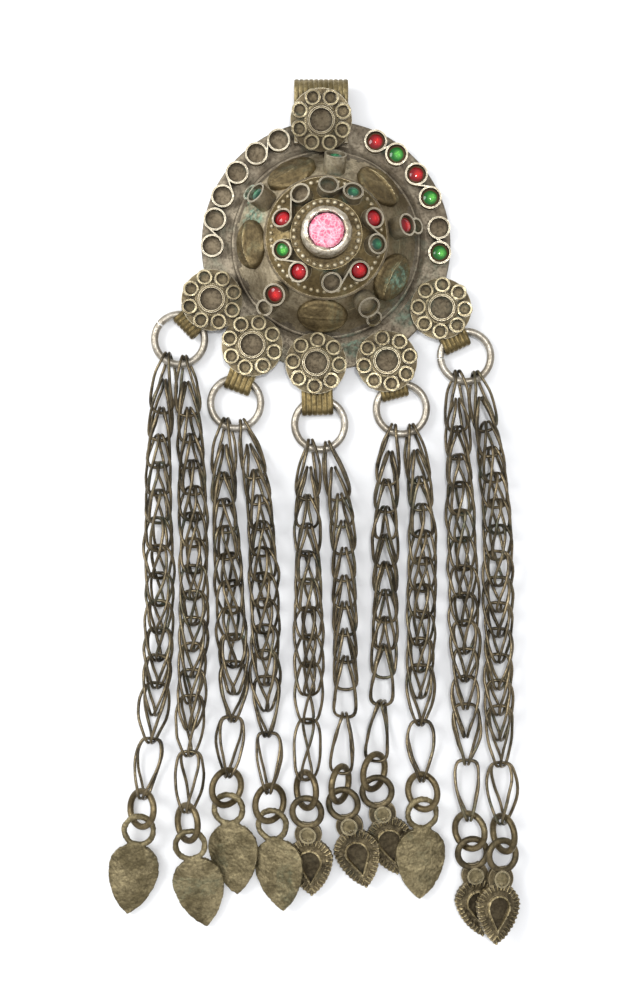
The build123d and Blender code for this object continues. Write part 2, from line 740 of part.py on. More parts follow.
def link_height(turn):
    """Height of a link's middle where the link lies on the ground, turned about its length."""
    angle = math.radians(turn)
    corners = [(LINK_HALF_WIDTH, LINK_WAIST_HALF), (LINK_EYE_HALF, LINK_HALF_DEPTH)]
    reach = max(abs(u * math.sin(angle)) + abs(v * math.cos(angle)) for u, v in corners)
    return FLOOR_GAP + CHAIN_WIRE / 2 + reach


def chain_height():
    return link_height(90)


def link():
    """One closed wire folded over: an arch at the origin, two eyes at LINK_LENGTH along +Z."""
    corners = [
        {"u": LINK_HALF_WIDTH, "v": LINK_ARCH_HALF, "w": 0.0, "bend": LINK_ARCH_BEND},
        {"u": LINK_HALF_WIDTH, "v": LINK_WAIST_HALF, "w": LINK_WAIST_DROP, "bend": LINK_WAIST_BEND},
        {"u": LINK_EYE_HALF, "v": LINK_HALF_DEPTH, "w": LINK_LENGTH, "bend": LINK_EYE_BEND},
    ]
    points, bends = [], []
    for side, face, order in [(1, 1, 1), (1, -1, -1), (-1, -1, 1), (-1, 1, -1)]:
        for corner in corners[::order]:
            points.append((side * corner["u"], face * corner["v"], corner["w"]))
            bends.append(corner["bend"])
    path = FilletPolyline(*points, radius=bends, close=True).wire()
    section = Plane(origin=path @ 0, z_dir=path % 0) * Circle(CHAIN_WIRE / 2)
    return sweep(section, path=path)


def first_heading(chain):
    """Plan azimuth in which the chain leaves its jump ring."""
    x, y = ring_centre(TASSELS[chain["tassel"] - 1])
    dx, dy = polar(ring_radius(), chain["start"])
    ahead_x, ahead_y = chain["route"][0]
    return math.degrees(math.atan2(ahead_y - y - dy, ahead_x - x - dx))


def hook_offset(skew):
    """From the ring wire's centre back to the middle of an arch that crosses it askew."""
    angle = math.radians(abs(skew))
    half = LINK_ARCH_HALF + CHAIN_WIRE / 2
    return RING_WIRE / 2 / math.cos(angle) + half * math.tan(angle) + CHAIN_WIRE / 2 + HOOK_GAP


def chain_start(chain):
    """Middle of the first link's arch, just inside the wire of its jump ring."""
    x, y = ring_centre(TASSELS[chain["tassel"] - 1])
    dx, dy = polar(ring_radius(), chain["start"])
    heading = first_heading(chain)
    back_x, back_y = polar(hook_offset(heading - chain["start"]), heading)
    return x + dx - back_x, y + dy - back_y, chain_height()


def route_heights(chain):
    """Where links turn over they need the most height, and lower down they lie flatter."""
    first, last = chain["turn"]
    widest = last if first == last else LINK_WIDEST_TURN
    return [link_height(turn) + CHAIN_LIFT for turn in (widest, widest, last)]


def chain_line(chain):
    """The smooth line of the chain's middle, from its jump ring to its small ring."""
    points = [chain_start(chain)]
    points += [(*point, height) for point, height in zip(chain["route"], route_heights(chain))]
    end = small_ring_place(chain) * Pos(0, small_ring_radius(), 0)
    points.append(tuple(end.position))
    leave = (*polar(1.0, first_heading(chain)), 0)
    arrive = (*polar(1.0, last_heading(chain)), 0)
    return Spline(*points, tangents=[leave, arrive])


def link_starts(chain):
    """How far along its chain each link's arch lies; the last link hangs in the one before."""
    length = chain_line(chain).length
    last = length - LINK_LENGTH + (SMALL_RING_WIRE + CHAIN_WIRE) / 2 + EYE_SLACK
    run = last - (LINK_LENGTH - CHAIN_WIRE - CHAIN_GAP)
    steps = round(run / LINK_PITCH)
    return [run * index / steps for index in range(steps + 1)] + [last]


def link_turns(chain, count):
    """How far each link stands on edge: the first two alike, then a little less each time."""
    first, last = chain["turn"]
    most = abs(last - first)
    sense = math.copysign(1.0, last - first)
    return [first + sense * min(most, LINK_TURN * max(0, index - 1)) for index in range(count)]


def link_frames(chain):
    """Frames of all links: arch on the line, +Z towards the eyes, turned about that line."""
    line = chain_line(chain)
    starts = link_starts(chain)
    frames = []
    for start, turn in zip(starts, link_turns(chain, len(starts))):
        here = line @ (start / line.length)
        there = line @ min(1.0, (start + LINK_LENGTH) / line.length)
        heading = (there - here).normalized()
        across = Vector(0, 0, 1).cross(heading).normalized()
        frames.append(Plane(origin=here, x_dir=across, z_dir=heading).location * Rot(0, 0, turn))
    return frames


def chain_links(chain):
    one = link()
    return [frame * one for frame in link_frames(chain)]


# Cast drops


def leaf_outline(width, top, tip, shoulder):
    """Pointed leaf: a round head from its top to the shoulders, two bowed sides to the tip."""
    wide = top + (tip - top) * shoulder
    low = wide + (tip - wide) * DROP_BOW_AT
    bow = width * DROP_BOW_SHARE
    with BuildSketch() as outline:
        with BuildLine():
            ThreePointArc((-width / 2, -wide), (0, -top), (width / 2, -wide))
            ThreePointArc((width / 2, -wide), (bow, -low), (0, -tip))
            ThreePointArc((0, -tip), (-bow, -low), (-width / 2, -wide))
        make_face()
    return outline.sketch


def crowned(outline, width, edge, crown):
    """The outline raised to a plate whose face is bowed across its width."""
    bow = ((width / 2) ** 2 + crown ** 2) / (2 * crown)
    slab = extrude(outline, edge + crown)
    top = Pos(0, -DROP_LENGTH / 2, edge + crown - bow) * Rot(90, 0, 0) * Cylinder(bow, 2 * DROP_LENGTH)
    return slab & top


def drop_loop():
    return Pos(0, 0, DROP_LOOP_WIRE / 2) * wire_ring(DROP_LOOP_OUTER, DROP_LOOP_WIRE)


def loop_radius():
    return (DROP_LOOP_OUTER - DROP_LOOP_WIRE) / 2


def leaf_drop():
    outline = leaf_outline(LEAF_WIDTH, LEAF_TOP, DROP_LENGTH - DROP_LOOP_WIRE / 2, LEAF_SHOULDER)
    blade = crowned(outline, LEAF_WIDTH, LEAF_EDGE, LEAF_CROWN)
    loop_hole = Cylinder(loop_radius() - DROP_LOOP_WIRE / 2, 4 * DROP_LOOP_WIRE)
    return (blade - loop_hole) + drop_loop()


def cell_outline(width, length):
    """Teardrop from its round head at y 0 to its point at -length."""
    head = width / 2
    apex = length - head
    touch = math.asin(head / apex)
    x, y = head * math.cos(touch), -head - head * math.sin(touch)
    with BuildSketch() as outline:
        with BuildLine():
            ThreePointArc((-x, y), (0, 0), (x, y))
            Polyline((x, y), (0, -length), (-x, y))
        make_face()
    return outline.sketch


def cast_drop():
    """A leaf with a rimmed boss, a teardrop cell, a border of radial bars and a knob at its tip."""
    tip = DROP_LENGTH - DROP_LOOP_WIRE / 2
    outline = leaf_outline(CAST_WIDTH, CAST_TOP, tip, CAST_SHOULDER)
    blade = crowned(outline, CAST_WIDTH, CAST_EDGE, CAST_CROWN)
    boss_y = loop_radius() + BOSS_RADIUS
    neck = Pos(0, -boss_y, 0) * Cylinder(NECK_WIDTH / 2, CAST_EDGE + CAST_CROWN / 2, align=BASE)
    hole = Cylinder(loop_radius() - DROP_LOOP_WIRE / 2, 4 * DROP_LOOP_WIRE)
    top = CAST_EDGE + CAST_CROWN
    boss = Pos(0, -boss_y, 0) * Cylinder(BOSS_RADIUS, top + BOSS_RISE, align=BASE)
    dish = Pos(0, -boss_y, top + BOSS_RISE / 3) * Cylinder(BOSS_RADIUS - BOSS_RIM, BOSS_RISE, align=BASE)
    cell = cell_outline(CELL_WIDTH, CELL_LENGTH)
    shrink = CELL_WIDTH - 2 * CELL_WALL
    floor = Pos(0, -CELL_WALL, 0) * cell_outline(shrink, CELL_LENGTH - 3 * CELL_WALL)
    wall = Pos(0, -CELL_TOP, CAST_EDGE / 2) * extrude(cell - floor, top - CAST_EDGE / 2 + CELL_RISE)
    knob = Pos(0, KNOB_RADIUS - tip, KNOB_RADIUS) * Sphere(KNOB_RADIUS)
    relief = [boss - dish, wall, knob, drop_loop()] + edge_bars(outline, top)
    return ((blade + neck) - hole) + relief


def edge_bars(outline, top):
    """A row of short bars across each bowed side, and the fine ridge inside them."""
    face = outline.face()
    sides = offset(face, -BAR_INSET).edges().sort_by(Axis.Y)[:2]
    base = CAST_EDGE / 2
    bars = []
    for side in sides:
        for index in range(BARS):
            share = (index + 0.5) / BARS
            point, along = side @ share, side % share
            lean = math.degrees(math.atan2(along.Y, along.X))
            bar = Box(BAR_WIDTH, BAR_LENGTH, top + BAR_RISE - base, align=BASE)
            bars.append(Pos(point.X, point.Y, base) * Rot(0, 0, lean) * bar)
    ridge = offset(face, -CONTOUR_INSET) - offset(face, -CONTOUR_INSET - CONTOUR_WIDTH)
    return bars + [Pos(0, 0, base) * extrude(ridge, top + CONTOUR_RISE - base)]


def hook_point(chain):
    """The lowest point of the small ring's wire centre, where the drop's loop hangs."""
    swing = chain["hang"] - last_heading(chain)
    return small_ring_place(chain) * Rot(0, 0, swing) * Pos(0, -small_ring_radius(), 0)


def drop_place(chain):
    """The drop's loop is hooked in the small ring, and its tip rests on what lies below."""
    x, y, z = tuple(hook_point(chain).position)
    rise = z - TIP_LIFT - DROP_LOOP_WIRE / 2 - chain["rest"]
    pitch = math.degrees(math.asin(rise / DROP_LENGTH))
    point = Pos(x, y, z) * Rot(0, 0, chain["hang"] + 90) * Rot(pitch, 0, 0) * Rot(0, -chain["roll"], 0)
    return point * Pos(0, DROP_HOOK_DEPTH - loop_radius(), -DROP_LOOP_WIRE / 2)


def write(name, shape):
    shape.label = name
    export_step(shape, f"parts/{name}.step")


def main():
    os.makedirs("parts", exist_ok=True)
    write("body", body())
    for name, stone in stones().items():
        write(name, stone)
    for number, tassel in enumerate(TASSELS, 1):
        write(f"jump_ring_{number}", jump_ring(tassel))
    drops = {"leaf": leaf_drop(), "cast": cast_drop()}
    for number, chain in enumerate(CHAINS, 1):
        write(f"chain_{number}", Compound(chain_links(chain)))
        write(f"small_ring_{number}", small_ring(chain))
        write(f"drop_{number}", drop_place(chain) * drops[chain["form"]])


main()
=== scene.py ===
import math
import random

import bpy
import numpy as np
from mathutils import Matrix, Vector
from mathutils import noise as noise3


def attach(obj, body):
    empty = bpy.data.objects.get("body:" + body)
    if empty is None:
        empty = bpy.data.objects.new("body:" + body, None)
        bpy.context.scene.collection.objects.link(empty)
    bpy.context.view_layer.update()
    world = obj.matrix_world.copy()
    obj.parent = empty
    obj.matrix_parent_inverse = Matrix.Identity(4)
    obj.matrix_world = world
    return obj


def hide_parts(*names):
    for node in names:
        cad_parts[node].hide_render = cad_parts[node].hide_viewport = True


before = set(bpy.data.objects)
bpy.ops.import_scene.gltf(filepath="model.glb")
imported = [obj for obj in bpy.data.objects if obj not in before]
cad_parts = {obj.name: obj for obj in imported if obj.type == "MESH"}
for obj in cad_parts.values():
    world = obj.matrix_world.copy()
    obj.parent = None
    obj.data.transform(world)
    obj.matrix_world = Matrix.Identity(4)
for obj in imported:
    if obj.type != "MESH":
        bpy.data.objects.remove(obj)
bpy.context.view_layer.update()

# Table, light and camera. The jewel lies flat on a white studio table under a wide light tent,
# with one small lamp beside the lens, and is looked at straight from above.
bpy.ops.object.select_all(action="DESELECT")
bpy.ops.mesh.primitive_plane_add(size=3.0, location=(0, 0, -0.00005))
table = bpy.context.object
table.name = "table"


def linear(red, green, blue):
    """A colour as a screen shows it, 0 to 255, in the linear values that shaders use."""
    return tuple((c / 255 / 12.92) if c < 11 else ((c / 255 + 0.055) / 1.055) ** 2.4
                 for c in (red, green, blue)) + (1.0,)


def bare_material(name):
    """A new node material, its tree and its Principled shader."""
    material = bpy.data.materials.new(name)
    material.use_nodes = True
    return material, material.node_tree, material.node_tree.nodes["Principled BSDF"]


paper, tree, shader = bare_material("white_table")
shader.inputs["Base Color"].default_value = (0.86, 0.87, 0.88, 1.0)
shader.inputs["Roughness"].default_value = 0.9
shader.inputs["Specular IOR Level"].default_value = 0.1
table.data.materials.append(paper)

scene = bpy.context.scene
scene.view_settings.view_transform = "Standard"
scene.view_settings.look = "None"
tent = bpy.data.worlds.new("light_tent")
scene.world = tent
tent.use_nodes = True
nodes, links = tent.node_tree.nodes, tent.node_tree.links
direction = nodes.new("ShaderNodeTexCoord")
height = nodes.new("ShaderNodeSeparateXYZ")
ramp = nodes.new("ShaderNodeValToRGB")
ramp.color_ramp.elements[0].position = 0.05
ramp.color_ramp.elements[0].color = (0.46, 0.45, 0.44, 1.0)
ramp.color_ramp.elements[1].position = 0.92
ramp.color_ramp.elements[1].color = (1.12, 1.12, 1.14, 1.0)
links.new(direction.outputs["Generated"], height.inputs[0])
links.new(height.outputs["Z"], ramp.inputs[0])
links.new(ramp.outputs[0], nodes["Background"].inputs["Color"])

for name, place, size, power in [("lens_lamp", (0.04, 0.02, 0.6), 0.05, 1.1),
                                 ("left_softbox", (-0.42, 0.12, 0.42), 0.30, 2.2)]:
    bpy.ops.object.light_add(type="AREA", location=place)
    lamp = bpy.context.object
    lamp.name = name
    lamp.data.shape = "DISK"
    lamp.data.size = size
    lamp.data.energy = power
    lamp.rotation_euler = (Vector((0, -0.05, 0)) - Vector(place)).to_track_quat("-Z", "Y").to_euler()

bpy.ops.object.camera_add(location=(-0.00208, -0.0622, 0.340))
camera = bpy.context.object
camera.data.lens = 50
camera.data.sensor_width = 36
camera.data.clip_start = 0.01
scene.camera = camera

# Shell of the pendant: a brass base plate with a raised hollow dome, its collar, cups,
# rosettes, strips and bail all soldered on, so the whole of it is one body of metal.


def group_socket(group, name, kind, side, value=None):
    socket = group.interface.new_socket(name=name, in_out=side, socket_type=kind)
    if value is not None:
        socket.default_value = value
    return socket


def new_node(tree, kind, **values):
    """A node with its settings, or with its inputs by number when the name starts with i."""
    node = tree.nodes.new(kind)
    for key, value in values.items():
        if key[0] == "i" and key[1:].isdigit():
            node.inputs[int(key[1:])].default_value = value
        else:
            setattr(node, key, value)
    return node


def maths(tree, operation, first, second=None, clamp=False):
    node = new_node(tree, "ShaderNodeMath", operation=operation, use_clamp=clamp)
    for number, value in enumerate((first, second)):
        if isinstance(value, (int, float)):
            node.inputs[number].default_value = value
        elif value is not None:
            tree.links.new(value, node.inputs[number])
    return node.outputs[0]


def spread(tree, value, low, high, start=0.0, end=1.0):
    """Stretches the part of a value between low and high over start to end, smoothly."""
    node = new_node(tree, "ShaderNodeMapRange", interpolation_type="SMOOTHSTEP",
                    i1=low, i2=high, i3=start, i4=end)
    tree.links.new(value, node.inputs[0])
    return node.outputs[0]


def blend(tree, share, under, over):
    """Colour over laid on colour under by a share; each may be a colour or a socket."""
    node = new_node(tree, "ShaderNodeMix", data_type="RGBA")
    for socket, value in ((node.inputs[0], share), (node.inputs[6], under), (node.inputs[7], over)):
        if isinstance(value, bpy.types.NodeSocket):
            tree.links.new(value, socket)
        else:
            socket.default_value = value
    return node.outputs[2]


def millimetres(tree):
    """Where a point is on its piece, in millimetres."""
    place = new_node(tree, "ShaderNodeTexCoord")
    scale = new_node(tree, "ShaderNodeMapping", i3=(1000, 1000, 1000))
    tree.links.new(place.outputs["Object"], scale.inputs["Vector"])
    return scale.outputs["Vector"]


def from_axis(tree, where):
    """How far a point is from the disc's axis."""
    flat = new_node(tree, "ShaderNodeVectorMath", operation="MULTIPLY", i1=(1, 1, 0))
    tree.links.new(where, flat.inputs[0])
    away = new_node(tree, "ShaderNodeVectorMath", operation="LENGTH")
    tree.links.new(flat.outputs[0], away.inputs[0])
    return away.outputs["Value"]


def dent_normal(tree, shader, height, strength, depth):
    """Dents the surface by a height, in metres at its full value."""
    bump = new_node(tree, "ShaderNodeBump")
    bump.inputs["Strength"].default_value = strength
    bump.inputs["Distance"].default_value = depth
    tree.links.new(height, bump.inputs["Height"])
    tree.links.new(bump.outputs[0], shader.inputs["Normal"])


def noise(tree, where, size, detail=4.0, rough=0.6, warp=0.0):
    """Cloudy noise whose lumps are about size millimetres across."""
    node = new_node(tree, "ShaderNodeTexNoise")
    node.inputs["Scale"].default_value = 1.0 / size
    node.inputs["Detail"].default_value = detail
    node.inputs["Roughness"].default_value = rough
    node.inputs["Distortion"].default_value = warp
    tree.links.new(where, node.inputs["Vector"])
    return node.outputs["Fac"]


def wear_and_shade_group():
    """Rubbed edges: where a rounded normal leaves the true one, and nothing stands close by; and recesses by
    ambient occlusion, which darken with grime and painted shade.
    """
    group = bpy.data.node_groups.new("rubbed_edges_and_recess_shade", "ShaderNodeTree")
    group_socket(group, "Millimetres", "NodeSocketVector", "INPUT")
    group_socket(group, "Width", "NodeSocketFloat", "INPUT", 0.0003)
    group_socket(group, "Breakup", "NodeSocketFloat", "INPUT", 0.5)
    group_socket(group, "Edge", "NodeSocketFloat", "OUTPUT")
    group_socket(group, "Recess", "NodeSocketFloat", "OUTPUT")
    inside, outside = group.nodes.new("NodeGroupInput"), group.nodes.new("NodeGroupOutput")
    rounded = new_node(group, "ShaderNodeBevel", samples=6)
    group.links.new(inside.outputs["Width"], rounded.inputs["Radius"])
    true = new_node(group, "ShaderNodeNewGeometry")
    lean = new_node(group, "ShaderNodeVectorMath", operation="DOT_PRODUCT")
    group.links.new(rounded.outputs[0], lean.inputs[0])
    group.links.new(true.outputs["Normal"], lean.inputs[1])
    bend = spread(group, lean.outputs["Value"], 0.985, 0.86)
    open_sky = new_node(group, "ShaderNodeAmbientOcclusion", samples=8, only_local=True)
    open_sky.inputs["Distance"].default_value = 0.0016
    clear = spread(group, open_sky.outputs["AO"], 0.35, 0.75)
    patchy = noise(group, inside.outputs["Millimetres"], 1.1)
    kept = maths(group, "MULTIPLY", maths(group, "SUBTRACT", patchy, 0.5), inside.outputs["Breakup"])
    edge = maths(group, "MULTIPLY", maths(group, "MULTIPLY", bend, clear), maths(group, "ADD", kept, 0.9),
                 clamp=True)
    group.links.new(edge, outside.inputs["Edge"])
    # Recess: ambient occlusion, darkening hemmed-in places with grime and painted shade
    group.links.new(spread(group, open_sky.outputs["AO"], 0.80, 0.30), outside.inputs["Recess"])
    return group


def patina_group():
    """Old cast and beaten metal: broad clouds, small specks, pits and fine dents."""
    group = bpy.data.node_groups.new("old_patina", "ShaderNodeTree")
    group_socket(group, "Millimetres", "NodeSocketVector", "INPUT")
    for name in ("Cloud", "Speck", "Dents", "Stain"):
        group_socket(group, name, "NodeSocketFloat", "OUTPUT")
    inside, outside = group.nodes.new("NodeGroupInput"), group.nodes.new("NodeGroupOutput")
    where = inside.outputs["Millimetres"]
    cloud = spread(group, noise(group, where, 6.0, 5.0, 0.65, 0.6), 0.36, 0.64)
    speck = spread(group, noise(group, where, 0.7, 3.0, 0.7), 0.42, 0.70)
    stain = spread(group, noise(group, where, 11.0, 4.0, 0.6, 1.2), 0.52, 0.66)
    pits = maths(group, "MULTIPLY", noise(group, where, 0.55), 0.35)
    dents = maths(group, "ADD", noise(group, where, 3.2, 2.0), pits)
    for name, value in (("Cloud", cloud), ("Speck", speck), ("Stain", stain), ("Dents", dents)):
        group.links.new(value, outside.inputs[name])
    return group


WEAR_AND_SHADE, PATINA = wear_and_shade_group(), patina_group()
VERDIGRIS, DARK_VERDIGRIS = linear(122, 156, 136), linear(58, 80, 64)


def old_metal(name, pale, deep, edge, grime_and_shade, shine=0.42, edge_width=0.3, breakup=0.6, green=0.25,
              dent=0.25, rubbed=0.85, patches=(), painted_light_side=None, worn_and_lit=None, soil_and_shade=0.85):
    """Worn metal with two tones, bright rubbed edges, grime and painted shade darkening the recesses, and
    some verdigris.

    It is painted paler along a direction, from one distance to another, a painted highlight on the side
    towards the light; and further from the axis its rubbed edges are brighter and nearer the axis it is
    darker, wear together with a painted highlight and painted shade."""
    material, tree, shader = bare_material(name)
    where = millimetres(tree)
    patina = new_node(tree, "ShaderNodeGroup", node_tree=PATINA)
    tree.links.new(where, patina.inputs["Millimetres"])
    wear_and_shade = new_node(tree, "ShaderNodeGroup", node_tree=WEAR_AND_SHADE)
    tree.links.new(where, wear_and_shade.inputs["Millimetres"])
    wear_and_shade.inputs["Width"].default_value = edge_width * 0.001
    wear_and_shade.inputs["Breakup"].default_value = breakup
    cloud = patina.outputs["Cloud"]
    # painted highlight: the cloud is paler along one direction, on the side towards the light
    if painted_light_side:
        along = new_node(tree, "ShaderNodeVectorMath", operation="DOT_PRODUCT")
        along.inputs[1].default_value = painted_light_side[0]
        tree.links.new(where, along.inputs[0])
        cloud = maths(tree, "MULTIPLY", maths(tree, "ADD", maths(tree, "MULTIPLY", cloud, 0.7), 0.3),
                      spread(tree, along.outputs["Value"], painted_light_side[1], painted_light_side[2], 0.25, 1.0))
    colour = blend(tree, cloud, deep, pale)
    colour = blend(tree, maths(tree, "MULTIPLY", patina.outputs["Speck"], 0.45), colour, grime_and_shade)
    # painted shade with grime: darker towards the grime colour where ambient occlusion finds a recess
    dirt_and_shade = maths(tree, "MULTIPLY", wear_and_shade.outputs["Recess"], soil_and_shade)
    rub = maths(tree, "MULTIPLY", wear_and_shade.outputs["Edge"], rubbed)
    # painted highlight and shade with wear: rubbed edges brighter further from the axis, darker towards it
    if worn_and_lit:
        ragged = maths(tree, "MULTIPLY", maths(tree, "SUBTRACT", noise(tree, where, 3.5), 0.5), 12.0)
        far = maths(tree, "ADD", from_axis(tree, where), ragged)
        share = spread(tree, far, worn_and_lit[0], worn_and_lit[1])
        rub = maths(tree, "MULTIPLY", rub, maths(tree, "ADD", maths(tree, "MULTIPLY", share, 0.7), 0.3))
        unworn_and_shaded = maths(tree, "MULTIPLY", maths(tree, "SUBTRACT", 1.0, share), 0.35)
        dirt_and_shade = maths(tree, "MAXIMUM", dirt_and_shade, unworn_and_shaded)
    colour = blend(tree, dirt_and_shade, colour, grime_and_shade)
    damp = maths(tree, "ADD", maths(tree, "MULTIPLY", wear_and_shade.outputs["Recess"], 1.5), 0.35)
    verdigris = maths(tree, "MULTIPLY", maths(tree, "MULTIPLY", patina.outputs["Stain"], green), damp,
                      clamp=True)
    for (x, y, z), radius, strength in patches:
        ragged = new_node(tree, "ShaderNodeVectorMath", operation="DISTANCE")
        ragged.inputs[1].default_value = (x, y, z)
        tree.links.new(where, ragged.inputs[0])
        far = maths(tree, "ADD", ragged.outputs["Value"],
                    maths(tree, "MULTIPLY", noise(tree, where, 2.2), radius * 1.2))
        spot = spread(tree, far, radius * 2.1, radius * 1.0, 0.0, strength)
        mottle = spread(tree, noise(tree, where, 0.9, 4.0, 0.75), 0.36, 0.58, 0.25, 1.0)
        verdigris = maths(tree, "MAXIMUM", verdigris, maths(tree, "MULTIPLY", spot, mottle))
    copper_green = blend(tree, spread(tree, noise(tree, where, 1.3), 0.42, 0.62), DARK_VERDIGRIS, VERDIGRIS)
    colour = blend(tree, verdigris, colour, copper_green)
    colour = blend(tree, rub, colour, edge)
    tree.links.new(colour, shader.inputs["Base Color"])
    dull = maths(tree, "MAXIMUM", maths(tree, "MULTIPLY", dirt_and_shade, 0.7), verdigris)
    tree.links.new(spread(tree, dull, 0.0, 1.0, 0.80, 0.15), shader.inputs["Metallic"])
    gloss = maths(tree, "ADD", maths(tree, "MULTIPLY", dull, 0.35),
                  maths(tree, "MULTIPLY", patina.outputs["Speck"], 0.14))
    gloss = maths(tree, "SUBTRACT", gloss, maths(tree, "MULTIPLY", rub, 0.12))
    tree.links.new(maths(tree, "ADD", gloss, shine, clamp=True), shader.inputs["Roughness"])
    dent_normal(tree, shader, patina.outputs["Dents"], dent, 0.0006)
    return material


def tidy_mesh(smooth, merge=0.0, close=False):
    """Merges doubles, closes an open underside, turns the faces out and smooths up to an angle."""
    bpy.ops.object.mode_set(mode="EDIT")
    bpy.ops.mesh.select_all(action="SELECT")
    if merge:
        bpy.ops.mesh.remove_doubles(threshold=merge)
    if close:
        bpy.ops.mesh.select_all(action="DESELECT")
        bpy.ops.mesh.select_non_manifold(extend=False, use_wire=False, use_multi_face=False,
                                         use_non_contiguous=False, use_verts=False)
        bpy.ops.mesh.edge_face_add()
        bpy.ops.mesh.select_all(action="SELECT")
    bpy.ops.mesh.normals_make_consistent(inside=False)
    bpy.ops.object.mode_set(mode="OBJECT")
    bpy.ops.object.shade_smooth_by_angle(angle=math.radians(smooth))


def joined(pieces, name):
    """Joins pieces into the first of them."""
    bpy.ops.object.select_all(action="DESELECT")
    for piece in pieces:
        piece.select_set(True)
    bpy.context.view_layer.objects.active = pieces[0]
    bpy.ops.object.join()
    pieces[0].name = name
    return pieces[0]


def merged_copy(name, node):
    """A closed, smooth-shaded copy of a CAD node, which it then stands for."""
    bpy.ops.object.select_all(action="DESELECT")
    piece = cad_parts[node].copy()
    piece.data = piece.data.copy()
    piece.name = name
    piece.parent = None
    for key in list(piece.keys()):
        del piece[key]
    scene.collection.objects.link(piece)
    bpy.context.view_layer.objects.active = piece
    piece.select_set(True)
    piece.data.materials.clear()
    bpy.ops.object.mode_set(mode="EDIT")
    bpy.ops.mesh.select_all(action="SELECT")
    bpy.ops.mesh.remove_doubles(threshold=1e-7)
    bpy.ops.object.mode_set(mode="OBJECT")
    bpy.ops.mesh.customdata_custom_splitnormals_clear()
    bpy.ops.object.shade_smooth_by_angle(angle=math.radians(32))
    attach(piece, "root")
    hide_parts(node)
    return piece


shell = merged_copy("pendant_shell", "body")
plate_grey = old_metal("plate_grey", linear(142, 132, 114), linear(102, 92, 77), linear(222, 212, 190),
                       linear(56, 48, 38), shine=0.52, green=0.35,
                       patches=[((6.5, -24.0, 1.2), 3.0, 0.55), ((20.0, -16.0, 1.2), 4.0, 0.5)])
# painted highlight: the dome is paler towards its upper left, the side towards the light
dome_olive = old_metal("dome_olive", linear(214, 200, 170), linear(92, 78, 51), linear(176, 162, 128),
                       linear(64, 53, 36), shine=0.50, green=0.3, painted_light_side=((-0.8, 0.6, 0.0), -14.0, 10.0),
                       patches=[((-17.5, 5.2, 6.5), 3.8, 1.0), ((-20.0, 10.5, 5.0), 3.4, 0.9),
                                ((19.0, -12.5, 6.0), 4.0, 0.9)], rubbed=0.4, soil_and_shade=0.3)
foot_grey = old_metal("foot_grey", linear(142, 132, 114), linear(98, 88, 72), linear(180, 168, 144),
                      linear(60, 52, 41), shine=0.52, green=0.35, rubbed=0.15, soil_and_shade=0.4)
collar_brass = old_metal("collar_brass", linear(122, 106, 72), linear(88, 74, 46), linear(214, 200, 164),
                         linear(44, 36, 22), shine=0.42, green=0.2)
leaf_brass = old_metal("leaf_brass", linear(130, 114, 80), linear(88, 75, 50), linear(204, 190, 150),
                       linear(54, 45, 29), shine=0.50, green=0.3, edge_width=0.3, dent=0.5,
                       patches=[((16.5, -9.0, 7.0), 3.2, 0.95)], soil_and_shade=0.6)
# painted highlight and shade with wear: brighter rubbed edges on each rosette's outer side, darker on its
# inner side
rosette_brass = old_metal("rosette_brass", linear(126, 113, 86), linear(90, 79, 57), linear(232, 222, 194),
                          linear(52, 43, 30), shine=0.44, green=0.12, worn_and_lit=(22.0, 33.0))
strip_silver = old_metal("strip_silver", linear(176, 166, 142), linear(130, 118, 94), linear(240, 232, 212),
                         linear(56, 46, 32), shine=0.40, green=0.2, patches=[((-17.0, 10.8, 6.0), 3.6, 0.9)])
bail_brass = old_metal("bail_brass", linear(136, 122, 86), linear(100, 88, 56), linear(216, 204, 168),
                       linear(48, 40, 24), shine=0.42, green=0.1)
loop_brass = old_metal("loop_brass", linear(122, 106, 68), linear(84, 71, 42), linear(200, 186, 142),
                       linear(40, 32, 19), shine=0.40, green=0.08)
rosette_floor = old_metal("rosette_floor", linear(110, 99, 80), linear(84, 74, 57), linear(170, 156, 128),
                          linear(46, 38, 27), shine=0.56, green=0.1)
cup_floor = old_metal("cup_floor", linear(132, 120, 99), linear(102, 90, 71), linear(160, 148, 122),
                      linear(50, 42, 30), shine=0.58, green=0.15)
bezel_silver = old_metal("bezel_silver", linear(212, 203, 184), linear(136, 122, 96), linear(255, 252, 244),
                         linear(66, 54, 38), shine=0.32, green=0.0, edge_width=0.35, dent=0.6, soil_and_shade=0.5)
step_brown = old_metal("step_brown", linear(104, 90, 62), linear(72, 60, 38), linear(176, 160, 122),
                       linear(44, 36, 22), shine=0.48, green=0.1)
bead_silver = old_metal("bead_silver", linear(214, 204, 178), linear(176, 162, 130), linear(244, 236, 214),
                        linear(60, 50, 34), shine=0.48, green=0.0, edge_width=0.05)
FINISHES = [plate_grey, dome_olive, collar_brass, leaf_brass, rosette_brass, strip_silver, bail_brass,
            loop_brass, rosette_floor, cup_floor, bezel_silver, step_brown, bead_silver]
for material in FINISHES:
    shell.data.materials.append(material)

PLATE_RADIUS, PLATE_TOP, CUP_FLOOR = 30.4, 1.2, 0.5
DOME_CENTRE, DOME_BALL, COLLAR_THICKNESS, STEP_TOP = -8.463, 23.663, 0.8, 15.413
ROSETTE_RADIUS, ROSETTE_BASE = 7.45, 2.79
ROSETTES = [(-27.65, -13.79), (-17.90, -24.82), (-2.44, -29.10), (14.65, -28.62), (27.80, -15.85)]
TOP_ROSETTE, TOP_BASE, TOP_SLOPE, BAIL_HALF = (-1.2, 29.4), 5.2, 0.262, 6.6
FLOOR_RISE, FLOOR_RADIUS = 2.2, 2.85
LEAF_AZIMUTHS = [117.5, 46.0, -29.4, -93.0, 183.0]
STRIP_AZIMUTHS = [83.5, 9.0, -58.5, -132.0, 147.5]


def off_azimuth(azimuth, others):
    return min(abs((azimuth - other + 180) % 360 - 180) for other in others)


